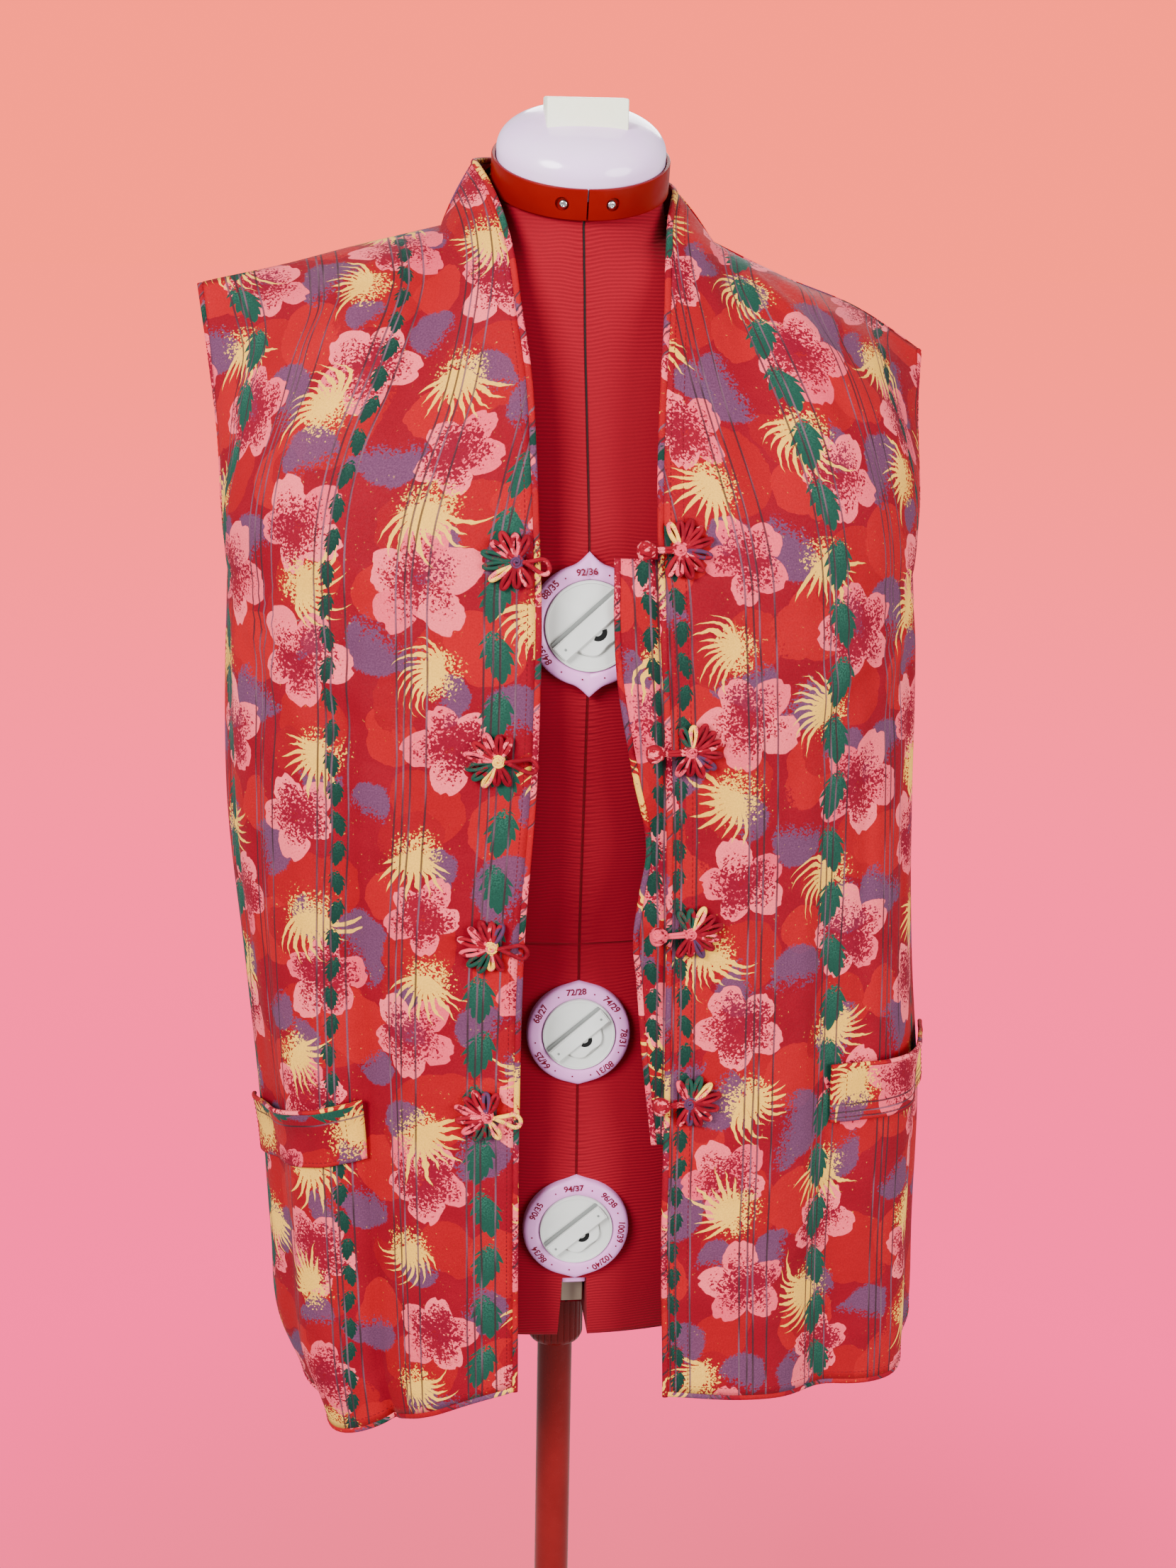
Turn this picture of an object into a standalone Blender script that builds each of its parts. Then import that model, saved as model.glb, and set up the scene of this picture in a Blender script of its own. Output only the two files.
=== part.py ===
# Open waistcoat with flower frogs, worn by a limbless dress form on a pole stand.
# Metres, +Z up. The front looks along -Y and the viewer's right is +X.
# The origin is the centre of the base's underside, on the floor.

from collections import namedtuple
from math import cos, pi, radians, sin

import bmesh
import bpy
import numpy as np
from mathutils import Matrix, Vector
from mathutils.bvhtree import BVHTree

# Cloth
WALL = 0.0020                # doubled cotton of the panels
SEAM_GAP = 0.0003            # air left between touching pieces
EDGING_WIDTH = 0.0034        # bound edge, seen from the front
EDGING_THICK = 0.0028
EDGING_ROOM = EDGING_WIDTH + SEAM_GAP
UNDERARM_Z = 1.168
SEAM_Y = 0.012               # shoulder seams and collar ends lie in this plane
ROUNDNESS = 2.5              # power of the superellipse that the body's rings follow
ARMHOLE_REACH = 0.047        # how far an armhole curves forward or back
NECK_DEPTH = 0.088           # back neckline behind the shoulder seams
COLLAR_DEPTH = 0.066         # collar's top edge behind the shoulder seams
COLLAR_RISE = 0.008          # collar's top edge higher at the back
NECK_DIP = 0.012             # neckline lower at the back
COLLAR_GAP = 0.0006          # a little more, where the collar turns up from the back
ARMHOLE_GAP = 0.0007         # and where a binding turns round the foot of an armhole

# Height of the section and half widths and depths of the filled-out garment
Ring = namedtuple("Ring", "z left right front back")
RINGS = [
    Ring(0.560, 0.1760, 0.248, 0.134, 0.126),
    Ring(0.600, 0.1860, 0.250, 0.136, 0.126),
    Ring(0.640, 0.2010, 0.251, 0.137, 0.125),
    Ring(0.700, 0.2050, 0.249, 0.139, 0.124),
    Ring(0.800, 0.2100, 0.247, 0.140, 0.121),
    Ring(0.905, 0.2180, 0.237, 0.139, 0.118),
    Ring(1.020, 0.2270, 0.229, 0.143, 0.118),
    Ring(1.100, 0.2260, 0.225, 0.147, 0.121),
    Ring(1.168, 0.2225, 0.219, 0.146, 0.124),
]

# Distance of each front's finished edge from the middle plane
Edge = namedtuple("Edge", "z left right")
FRONT_EDGES = [
    Edge(0.560, 0.041, 0.057),
    Edge(0.640, 0.041, 0.055),
    Edge(0.742, 0.042, 0.051),
    Edge(0.852, 0.042, 0.050),
    Edge(0.956, 0.040, 0.048),
    Edge(1.058, 0.034, 0.0445),
    Edge(1.106, 0.033, 0.0415),
    Edge(1.154, 0.0325, 0.038),
    Edge(1.199, 0.0338, 0.0358),
    Edge(1.250, 0.0352, 0.0358),
    Edge(1.297, 0.0372, 0.0386),
    Edge(1.335, 0.0420, 0.0422),
    Edge(1.366, 0.0455, 0.0450),
    Edge(1.391, 0.0515, 0.0500),
    Edge(1.406, 0.0575, 0.0570),
    Edge(1.420, 0.0655, 0.0650),
]

# Distance of each armhole's edge from the middle plane
Armhole = namedtuple("Armhole", "z left right")
ARMHOLES = [
    Armhole(1.168, 0.2225, 0.219),
    Armhole(1.208, 0.2235, 0.217),
    Armhole(1.248, 0.2255, 0.217),
    Armhole(1.277, 0.2290, 0.220),
    Armhole(1.315, 0.2345, 0.226),
    Armhole(1.342, 0.2390, 0.228),
]

# Points along each shoulder seam, from the neck to the tip
Shoulder = namedtuple("Shoulder", "share left_x left_z right_x right_z")
SHOULDERS = [
    Shoulder(0.00, 0.086, 1.379, 0.086, 1.372),
    Shoulder(0.33, 0.136, 1.3665, 0.133, 1.351),
    Shoulder(0.67, 0.187, 1.353, 0.181, 1.333),
    Shoulder(1.00, 0.239, 1.342, 0.227, 1.307),
]
COLLAR_TOP = {"left": (0.0650, 1.420), "right": (0.0605, 1.405)}

# Hem height along a front, as the share of the way from front edge to side seam
Hem = namedtuple("Hem", "share left right")
HEMS = [
    Hem(0.00, 0.641, 0.633),
    Hem(0.11, 0.631, 0.627),
    Hem(0.19, 0.621, 0.625),
    Hem(0.35, 0.603, 0.619),
    Hem(0.54, 0.590, 0.614),
    Hem(0.75, 0.588, 0.617),
    Hem(1.00, 0.600, 0.632),
]
BACK_HEM_DROP = 0.012        # back hem higher in the middle than at the seams

# Soft folds down the panels: place across the panel, width and depth as lengths,
# and the heights between which the fold fades in
Fold = namedtuple("Fold", "panel share width depth low high")
FOLDS = [
    Fold("left", 0.34, 0.055, 0.0095, 0.80, 1.27),
    Fold("left", 0.56, 0.060, -0.0050, 0.62, 1.10),
    Fold("left", 0.76, 0.055, 0.0080, 0.62, 1.02),
    Fold("left", 0.12, 0.060, -0.0035, 0.62, 0.95),
    Fold("right", 0.36, 0.055, 0.0090, 0.72, 1.20),
    Fold("right", 0.20, 0.055, -0.0035, 0.70, 1.15),
    Fold("right", 0.60, 0.055, -0.0050, 0.62, 1.12),
    Fold("right", 0.80, 0.055, 0.0060, 0.70, 1.10),
    Fold("back", 0.20, 0.045, 0.0085, 0.60, 1.18),
    Fold("back", 0.36, 0.045, -0.0050, 0.60, 1.05),
    Fold("back", 0.52, 0.045, 0.0070, 0.60, 1.14),
    Fold("back", 0.66, 0.045, -0.0055, 0.60, 1.08),
    Fold("back", 0.81, 0.045, 0.0085, 0.60, 1.18),
]
# Dart folds from the neck end of the shoulder down the chest
DART_SHARE = 0.22
DART_WIDTH = 0.030
DART_DEPTH = 0.0050

# Strip under the right front's edge, which the loops button over
Strip = namedtuple("Strip", "z edge behind")
BUTTON_STAND = [
    Strip(0.815, 0.043, 0.0010),
    Strip(0.874, 0.036, 0.0030),
    Strip(0.927, 0.031, 0.0040),
    Strip(0.953, 0.028, 0.0010),
    Strip(0.979, 0.031, 0.0055),
    Strip(1.009, 0.035, 0.0060),
    Strip(1.064, 0.024, 0.0015),
    Strip(1.128, 0.013, 0.0040),
    Strip(1.162, 0.011, 0.0040),
]
STAND_INNER_EDGE = 0.060

# Welt pockets: heights at the inner and outer ends, and how far the mouth gapes
Welt = namedtuple("Welt", "front inner_top outer_top depth mouth")
WELTS = [
    Welt("left", 0.838, 0.808, 0.040, 0.007),
    Welt("right", 0.856, 0.850, 0.040, 0.006),
]
WELT_INNER = 0.36            # both reach over the same columns of their fronts
WELT_COLUMNS = 9
WELT_LIFT = 0.0008

# Frogs: places of the flowers, the loops' tips and the balls, from the middle plane
Frog = namedtuple("Frog", "name left_x left_z tip right_x right_z ball")
FROGS = [
    Frog("1", 0.048, 1.193, 0.027, 0.0490, 1.200, 0.028),
    Frog("2", 0.058, 1.073, 0.033, 0.059, 1.078, 0.036),
    Frog("3", 0.061, 0.953, 0.037, 0.063, 0.960, 0.042),
    Frog("4", 0.063, 0.840, 0.040, 0.066, 0.846, 0.047),
]
FLOWER_R = 0.0178
FLOWER_LONG = 0.22           # share by which the side away from the edge is longer
FLOWER_BOSS = 0.0050
FLOWER_MOUTH = 0.0070        # short reach of a flower where its loop or ball leaves it
FLOWER_OPEN = radians(55)    # half of the fan that has no petals
FLOWER_PETALS = 11
FLOWER_LIFT = 0.0004
CORD_R = 0.0016
CORD_LIFT = 0.0012
LOOP_WIDTH = 0.0085
BALL_R = 0.0062
BALL_STEM_R = 0.0016
STEM_HEIGHT = 0.0058         # of the stem's middle above the cloth, beside the coil

# Dress form
FORM_X = -0.002
NECK_X = -0.0005
POLE_X = -0.0045
Body = namedtuple("Body", "z half front back")
BODY = [
    Body(0.6600, 0.160, 0.100, 0.102),
    Body(0.7000, 0.166, 0.106, 0.105),
    Body(0.7500, 0.168, 0.108, 0.106),
    Body(0.8200, 0.152, 0.106, 0.100),
    Body(0.8800, 0.134, 0.103, 0.092),
    Body(0.9390, 0.125, 0.100, 0.087),
    Body(1.0000, 0.131, 0.106, 0.090),
    Body(1.0800, 0.146, 0.119, 0.097),
    Body(1.1500, 0.155, 0.126, 0.101),
    Body(1.2000, 0.162, 0.116, 0.103),
    Body(1.2500, 0.174, 0.096, 0.100),
    Body(1.2850, 0.181, 0.081, 0.092),
    Body(1.3100, 0.174, 0.070, 0.082),
    Body(1.3280, 0.154, 0.064, 0.074),
    Body(1.3400, 0.1325, 0.0611, 0.068),
    Body(1.3500, 0.1075, 0.0581, 0.063),
    Body(1.3600, 0.083, 0.0540, 0.058),
    Body(1.3700, 0.066, 0.0530, 0.0555),
    Body(1.3810, 0.0560, 0.0525, 0.0535),
]
BODY_POWER = 2.15
NECK_TILT = radians(16.5)      # the neck's top leans forward
NECK_TILT_FROM = 1.355
NECK_R = 0.0526
BAND_R = 0.0556
BAND_WALL = 0.0024
BAND_HEIGHT = 0.0186
BAND_LOW = 1.4020            # middle of the band's lower edge, on the neck's axis
CAP_R = 0.0526
CAP_RISE = 0.0240
NECK_TOP = 0.0100            # neck's end, above the band's foot
BLOCK = (0.0520, 0.0340, 0.0195)
BLOCK_SUNK = 0.0100
NOTCH = (0.0170, 0.0420)     # width and height of the gap at the front's foot

# Dials set in the form: height, outer and knob radius, turn of the grip bar
Dial = namedtuple("Dial", "name z ring_r knob_r turn")
DIALS = [
    Dial("bust", 1.151, 0.0372, 0.0275, 42),
    Dial("waist", 0.880, 0.0335, 0.0235, 40),
    Dial("hip", 0.745, 0.0350, 0.0240, 40),
]
DIAL_STANDS = 0.0048
DIAL_LIFT = 0.0009

ADJUSTER = (0.0230, 0.0170)
POLE_COLLAR = (0.0200, 0.0300)
POLE_R = 0.0125
BASE_R = 0.170
BASE_THICK = 0.012
BOSS = (0.030, 0.022)

CLOTH = {"color": (0.58, 0.03, 0.05), "roughness": 0.55, "metallic": 0.0}
KNIT = {"color": (0.42, 0.01, 0.03), "roughness": 0.85, "metallic": 0.0}
RED_GLOSS = {"color": (0.40, 0.02, 0.01), "roughness": 0.22, "metallic": 0.0}
LILAC = {"color": (0.76, 0.66, 0.86), "roughness": 0.25, "metallic": 0.0}
CREAM = {"color": (0.90, 0.92, 0.84), "roughness": 0.35, "metallic": 0.0}
WHITE = {"color": (0.72, 0.72, 0.72), "roughness": 0.30, "metallic": 0.0}
GREY = {"color": (0.50, 0.47, 0.42), "roughness": 0.45, "metallic": 0.0}
STEEL = {"color": (0.60, 0.60, 0.62), "roughness": 0.30, "metallic": 1.0}
POLE_RED = {"color": (0.21, 0.01, 0.015), "roughness": 0.25, "metallic": 0.0}
SIDE = {"left": -1.0, "right": 1.0}


def clear_scene():
    for old in list(bpy.data.objects):
        bpy.data.objects.remove(old, do_unlink=True)


def add_object(name, verts, faces, look, smooth=40):
    """Make one closed mesh object with outward faces and its own material."""
    mesh = bpy.data.meshes.new(name)
    mesh.from_pydata([tuple(p) for p in verts], [], faces)
    work = bmesh.new()
    work.from_mesh(mesh)
    bmesh.ops.recalc_face_normals(work, faces=work.faces)
    work.to_mesh(mesh)
    work.free()
    mesh.shade_smooth()
    mesh.set_sharp_from_angle(angle=radians(smooth))
    obj = bpy.data.objects.new(name, mesh)
    bpy.context.collection.objects.link(obj)
    material = bpy.data.materials.new(name)
    material.use_nodes = True
    shader = material.node_tree.nodes["Principled BSDF"]
    shader.inputs["Base Color"].default_value = (*look["color"], 1.0)
    shader.inputs["Roughness"].default_value = look["roughness"]
    shader.inputs["Metallic"].default_value = look["metallic"]
    mesh.materials.append(material)
    return obj


def column(table, name):
    return np.array([getattr(row, name) for row in table])


def along(table, key, name, at):
    """Read one column of a table at any place, along a smooth cubic through its rows."""
    xs, vs = column(table, key), column(table, name)
    slopes = np.gradient(vs, xs)
    at = np.clip(at, xs[0], xs[-1])
    i = np.clip(np.searchsorted(xs, at) - 1, 0, len(xs) - 2)
    step = xs[i + 1] - xs[i]
    t = (at - xs[i]) / step
    rise = vs[i] * (1 + 2 * t) * (1 - t) ** 2 + vs[i + 1] * t * t * (3 - 2 * t)
    return rise + step * t * (1 - t) * (slopes[i] * (1 - t) - slopes[i + 1] * t)


def blend(t):
    t = np.clip(t, 0.0, 1.0)
    return t * t * (3 - 2 * t)


def unit(v):
    return v / np.maximum(np.linalg.norm(v, axis=-1, keepdims=True), 1e-12)


def signed_power(base, power):
    return np.sign(base) * np.abs(base) ** power


def sheet_normals(grid):
    """Normals of a grid of points, from its rows and columns."""
    across = np.gradient(grid, axis=0)
    up = np.gradient(grid, axis=1)
    return unit(np.cross(across, up))


def steady_normals(grid, normals, near):
    """Near an armhole, ease the normals towards those of the body's rings."""
    x, y, z = np.abs(grid[..., 0]), grid[..., 1], grid[..., 2]
    half = np.where(grid[..., 0] < 0, along(RINGS, "z", "left", z), along(RINGS, "z", "right", z))
    half = np.maximum(half, x)
    deep = np.where(y < 0, along(RINGS, "z", "front", z), along(RINGS, "z", "back", z))
    power = ROUNDNESS - 1
    ring = np.stack([np.sign(grid[..., 0]) * (x / half) ** power / half,
                     np.sign(y) * (np.abs(y) / deep) ** power / deep, np.zeros_like(z)], axis=-1)
    amount = near * (1 - blend((z - 1.24) / 0.07)) * blend((z - 1.10) / 0.06)
    return unit(normals + (unit(ring) - normals) * amount[..., None])


def edge_x(side, z):
    """Finished front edge, less the room that its binding takes."""
    return along(FRONT_EDGES, "z", side, z) + EDGING_ROOM


def fold_depth(panel, share, z, span):
    """Inward depth of a panel's soft folds at a place across it and a height."""
    depth = np.zeros(np.broadcast(share, z).shape)
    for fold in FOLDS:
        if fold.panel == panel:
            fade = 1 - blend((z - fold.low) / (fold.high - fold.low))
            offset = (share - fold.share) * span / (fold.width * 0.5)
            depth += fold.depth * fade * np.exp(-offset ** 2)
    return depth


# Front panels

FRONT_SPAN = 0.30            # cloth from front edge to side seam
BACK_SPAN = 0.56
COLLAR_SHARE = 0.18          # share of a front's top that is its collar


def front_below(side, share, rise):
    """Points from hem (rise 0) to underarm (rise 1) on the body's rings."""
    hem = along(HEMS, "share", side, share) + EDGING_ROOM
    z = hem + (UNDERARM_Z - hem) * rise
    half = along(RINGS, "z", side, z)
    deep = along(RINGS, "z", "front", z)
    start = np.arcsin((edge_x(side, z) / half) ** (ROUNDNESS / 2))
    turn = start + (pi / 2 - start) * share
    x = SIDE[side] * half * np.sin(turn) ** (2 / ROUNDNESS)
    y = -deep * np.abs(np.cos(turn)) ** (2 / ROUNDNESS)
    return np.stack([x, y - SEAM_GAP / 2, z], axis=-1)


def seam_top(side, share):
    """Top of a front: the collar's end, then the shoulder seam out to its tip."""
    top_x, top_z = COLLAR_TOP[side]
    neck = SHOULDERS[0]
    neck_x, neck_z = getattr(neck, side + "_x"), getattr(neck, side + "_z")
    top_x = top_x + EDGING_ROOM * 0.5
    top_z = top_z - EDGING_ROOM * 0.9
    t = np.clip(share / COLLAR_SHARE, 0, 1)
    s = np.clip((share - COLLAR_SHARE) / (1 - COLLAR_SHARE), 0, 1)
    tip_room = EDGING_ROOM * s ** 6
    x = np.where(share < COLLAR_SHARE, top_x + (neck_x - top_x) * t,
                 along(SHOULDERS, "share", side + "_x", s) - tip_room)
    z = np.where(share < COLLAR_SHARE, top_z + (neck_z - top_z) * t,
                 along(SHOULDERS, "share", side + "_z", s))
    return x, z


def armhole_curve(side, t, way):
    """Armhole edge from underarm (t 0) to shoulder tip (t 1), way -1 in front."""
    tip_x, tip_z = seam_top(side, np.array(1.0))
    low = UNDERARM_Z
    z = low + (tip_z - low) * t ** 1.15
    y = SEAM_Y * t + way * ARMHOLE_REACH * np.sin(pi * t ** 0.82)
    return y, z


def front_above(side, share, t):
    """Points from the underarm ring (t 0) to the shoulder seam and collar end (t 1)."""
    ring = front_below(side, share, 1.0)
    xb, yb = np.abs(ring[..., 0]), ring[..., 1]
    xs, zs = seam_top(side, share)
    ys = SEAM_Y - SEAM_GAP / 2
    power = 1.28 - 0.36 * blend(share / 0.45)
    turn = t * pi / 2
    y = ys + (yb - ys) * np.cos(turn) ** power
    z = UNDERARM_Z + (zs - UNDERARM_Z) * np.sin(turn) ** power
    arm_y, arm_z = armhole_curve(side, t, -1.0)
    tip_z = seam_top(side, np.array(1.0))[1]
    flat_y = ys + (-SEAM_GAP / 2 - ys) * np.cos(turn) ** 0.92
    flat_z = UNDERARM_Z + (tip_z - UNDERARM_Z) * np.sin(turn) ** 0.92
    near = share ** 3
    y = y + near * (arm_y - flat_y - SEAM_GAP / 2 * t)
    z = z + near * (arm_z - flat_z)
    inner_low, outer_low = edge_x(side, UNDERARM_Z), along(ARMHOLES, "z", side, UNDERARM_Z)
    part_low = (xb - inner_low) / (outer_low - inner_low)
    part_high = (xs - edge_x(side, zs)) / (along(ARMHOLES, "z", side, zs) - edge_x(side, zs))
    part = part_low + (part_high - part_low) * blend(t)
    x = edge_x(side, z) + (along(ARMHOLES, "z", side, z) - edge_x(side, z)) * part
    return np.stack([SIDE[side] * x, y, z], axis=-1)


def front_sheet(side, shares, low_rows, high_rows):
    share = shares[:, None]
    below = front_below(side, share, low_rows[None, :])
    above = front_above(side, share, high_rows[None, 1:])
    grid = np.concatenate([below, above], axis=1)
    normals = outward(sheet_normals(grid), side)
    depth = fold_depth(side, share, grid[..., 2], FRONT_SPAN)
    gauss = np.exp(-((share - DART_SHARE) * FRONT_SPAN / DART_WIDTH) ** 2)
    height = blend((grid[..., 2] - 1.20) / 0.12) * (1 - blend((grid[..., 2] - 1.345) / 0.03))
    depth = depth + DART_DEPTH * gauss * height
    fixed = 1 - blend((share - 0.93) / 0.07)
    return grid - normals * (depth * fixed)[..., None]


def outward(normals, side):
    """Turn a front's normals away from the body."""
    middle = normals[len(normals) // 2, normals.shape[1] // 3]
    want = np.array([SIDE[side] * 0.4, -1.0, 0.0])
    return normals if middle @ want > 0 else -normals


# Back panel and collar band

BACK_SHOULDER = 0.29         # share of the back's top that each shoulder takes


def neck_curve(a, drop=0.0):
    """Back neckline from the left neck point (a 0) to the right one (a 1)."""
    left, right = SHOULDERS[0].left_x, SHOULDERS[0].right_x
    half = left + (right - left) * a
    x = -half * np.cos(pi * a)
    y = SEAM_Y + SEAM_GAP / 2 + NECK_DEPTH * np.sin(pi * a)
    z = SHOULDERS[0].left_z + (SHOULDERS[0].right_z - SHOULDERS[0].left_z) * a
    z = z - NECK_DIP * np.sin(pi * a) - drop
    return np.stack([x, y, z], axis=-1)


def collar_top_curve(a):
    left_x, left_z = COLLAR_TOP["left"]
    right_x, right_z = COLLAR_TOP["right"]
    half = left_x + (right_x - left_x) * a + EDGING_ROOM * 0.5
    x = -half * np.cos(pi * a)
    y = SEAM_Y + SEAM_GAP / 2 + COLLAR_DEPTH * np.sin(pi * a)
    z = left_z + (right_z - left_z) * a + COLLAR_RISE * np.sin(pi * a)
    return np.stack([x, y, z - EDGING_ROOM * 0.9], axis=-1)


def collar_normals(a):
    """Normals of the collar band, across its width and its turn round the neck."""
    up = unit(collar_top_curve(a) - neck_curve(a))
    step = 1e-3
    ahead = np.clip(a + step, 0, 1)
    behind = np.clip(a - step, 0, 1)
    turn = unit(neck_curve(ahead) - neck_curve(behind))
    return unit(np.cross(up, turn)), up


def back_below(share, rise):
    hem_left = HEMS[-1].left + (HEMS[-1].right - HEMS[-1].left) * share
    hem = hem_left + BACK_HEM_DROP * np.sin(pi * share) + EDGING_ROOM
    z = hem + (UNDERARM_Z - hem) * rise
    turn = pi * share
    left, right = along(RINGS, "z", "left", z), along(RINGS, "z", "right", z)
    half = np.where(share < 0.5, left, right)
    power = 2 / ROUNDNESS
    x = -half * signed_power(np.cos(turn), power)
    y = along(RINGS, "z", "back", z) * np.abs(np.sin(turn)) ** power
    return np.stack([x, y + SEAM_GAP / 2, z], axis=-1)


def back_top(share):
    left = np.clip(1 - share / BACK_SHOULDER, 0, 1)
    right = np.clip((share - 1 + BACK_SHOULDER) / BACK_SHOULDER, 0, 1)
    a = np.clip((share - BACK_SHOULDER) / (1 - 2 * BACK_SHOULDER), 0, 1)
    neck = neck_curve(a)
    left_x, left_z = seam_top("left", COLLAR_SHARE + (1 - COLLAR_SHARE) * left)
    right_x, right_z = seam_top("right", COLLAR_SHARE + (1 - COLLAR_SHARE) * right)
    x = np.where(left > 0, -left_x, np.where(right > 0, right_x, neck[..., 0]))
    y = np.where((left > 0) | (right > 0), SEAM_Y + SEAM_GAP / 2, neck[..., 1])
    z = np.where(left > 0, left_z, np.where(right > 0, right_z, neck[..., 2]))
    return x, y, z


def back_above(share, t):
    ring = back_below(share, 1.0)
    xb, yb = ring[..., 0], ring[..., 1]
    xs, ys, zs = back_top(share)
    middle = np.sin(pi * share) ** 2
    power = 0.92 + 0.55 * blend((middle - 0.55) / 0.45)
    turn = t * pi / 2
    y = ys + (yb - ys) * np.cos(turn) ** power
    z = UNDERARM_Z + (zs - UNDERARM_Z) * np.sin(turn) ** power
    for side, near in (("left", (1 - share) ** 7), ("right", share ** 7)):
        arm_y, arm_z = armhole_curve(side, t, 1.0)
        tip_z = seam_top(side, np.array(1.0))[1]
        seam = SEAM_Y + SEAM_GAP / 2
        flat_y = seam + (SEAM_GAP / 2 - seam) * np.cos(turn) ** 0.92
        flat_z = UNDERARM_Z + (tip_z - UNDERARM_Z) * np.sin(turn) ** 0.92
        y = y + near * (arm_y - flat_y + SEAM_GAP / 2 * t)
        z = z + near * (arm_z - flat_z)
    arm_left, arm_right = along(ARMHOLES, "z", "left", z), along(ARMHOLES, "z", "right", z)
    low_left, low_right = ARMHOLES[0].left, ARMHOLES[0].right
    top_left, top_right = along(ARMHOLES, "z", "left", zs), along(ARMHOLES, "z", "right", zs)
    part_low = (xb + low_left) / (low_left + low_right)
    part_high = (xs + top_left) / (top_left + top_right)
    part = part_low + (part_high - part_low) * blend(t)
    x = -arm_left + (arm_left + arm_right) * part
    return np.stack([x, y, z], axis=-1)


def back_sheet(shares, low_rows, high_rows):
    share = shares[:, None]
    below = back_below(share, low_rows[None, :])
    above = back_above(share, high_rows[None, 1:])
    grid = np.concatenate([below, above], axis=1)
    normals = sheet_normals(grid)
    if normals[len(shares) // 2, 3, 1] < 0:
        normals = -normals
    fixed = blend(share / 0.06) * blend((1 - share) / 0.06)
    depth = fold_depth("back", share, grid[..., 2], BACK_SPAN) * fixed
    return grid - normals * depth[..., None]


# Walls and bound edges

def wall_solid(name, grid, normals, look, thick=WALL):
    """Closed wall: the grid's points moved out and in along its normals, with a rim."""
    nu, nv = grid.shape[:2]
    outer = (grid + normals * thick / 2).reshape(-1, 3)
    inner = (grid - normals * thick / 2).reshape(-1, 3)
    verts = np.concatenate([outer, inner])
    far = nu * nv
    faces = []
    for i in range(nu - 1):
        for j in range(nv - 1):
            a, b = i * nv + j, (i + 1) * nv + j
            faces += [(a, b, b + 1), (a, b + 1, a + 1)]
            faces += [(far + a, far + b + 1, far + b), (far + a, far + a + 1, far + b + 1)]
    rim = [i * nv for i in range(nu)]
    rim += [(nu - 1) * nv + j for j in range(1, nv)]
    rim += [i * nv + nv - 1 for i in range(nu - 2, -1, -1)]
    rim += [j for j in range(nv - 2, 0, -1)]
    for a, b in zip(rim, rim[1:] + rim[:1]):
        faces += [(a, far + a, far + b), (a, far + b, b)]
    return add_object(name, verts, faces, look)


def bound_edge(name, line, outwards, normals, look, start_plane=None, end_plane=None,
               gap=SEAM_GAP):
    """Binding along a panel's edge: a flat strip that lies just beyond it.

    start_plane and end_plane are heights in Y in which its ends are cut off.
    """
    middle = gap + EDGING_WIDTH / 2
    verts = []
    for point, out, normal in zip(line, outwards, normals):
        centre = point + out * middle
        for across, through in ((-1, -1), (1, -0.7), (1, 0.7), (-1, 1)):
            verts.append(centre + out * across * EDGING_WIDTH / 2
                         + normal * through * EDGING_THICK / 2)
    verts = np.array(verts)
    for plane, rows in ((start_plane, slice(0, 4)), (end_plane, slice(-4, None))):
        if plane is not None:
            verts[rows, 1] = plane
    faces = [(0, 1, 2), (0, 2, 3)]
    last = 4 * (len(line) - 1)
    faces += [(last, last + 2, last + 1), (last, last + 3, last + 2)]
    for i in range(len(line) - 1):
        for k in range(4):
            a, b = 4 * i + k, 4 * i + (k + 1) % 4
            faces += [(a, a + 4, b + 4), (a, b + 4, b)]
    return add_object(name, verts, faces, look)


def edge_frame(grid, normals, edge):
    """Points, in-surface outward directions and normals along one edge of a grid."""
    line, next_in, normal = {
        "start": (grid[0], grid[1], normals[0]),
        "end": (grid[-1], grid[-2], normals[-1]),
        "low": (grid[:, 0], grid[:, 1], normals[:, 0]),
        "high": (grid[:, -1], grid[:, -2], normals[:, -1]),
    }[edge]
    tangent = unit(np.gradient(line, axis=0))
    out = unit(np.cross(tangent, normal))
    middle = len(line) // 2
    flip = np.sign(out[middle] @ (line[middle] - next_in[middle]))
    return line, out * flip, normal


def neck_point_normal(side):
    """Normal shared by the front, the back and the collar where they meet."""
    a = np.array([0.0 if side == "left" else 1.0])
    collar = collar_normals(a)[0][0]
    seam = np.array([SIDE[side] * 0.24, 0.0, 0.97])
    both = unit(unit(collar * np.array([1, 0, 1])) + seam)
    return both


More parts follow.
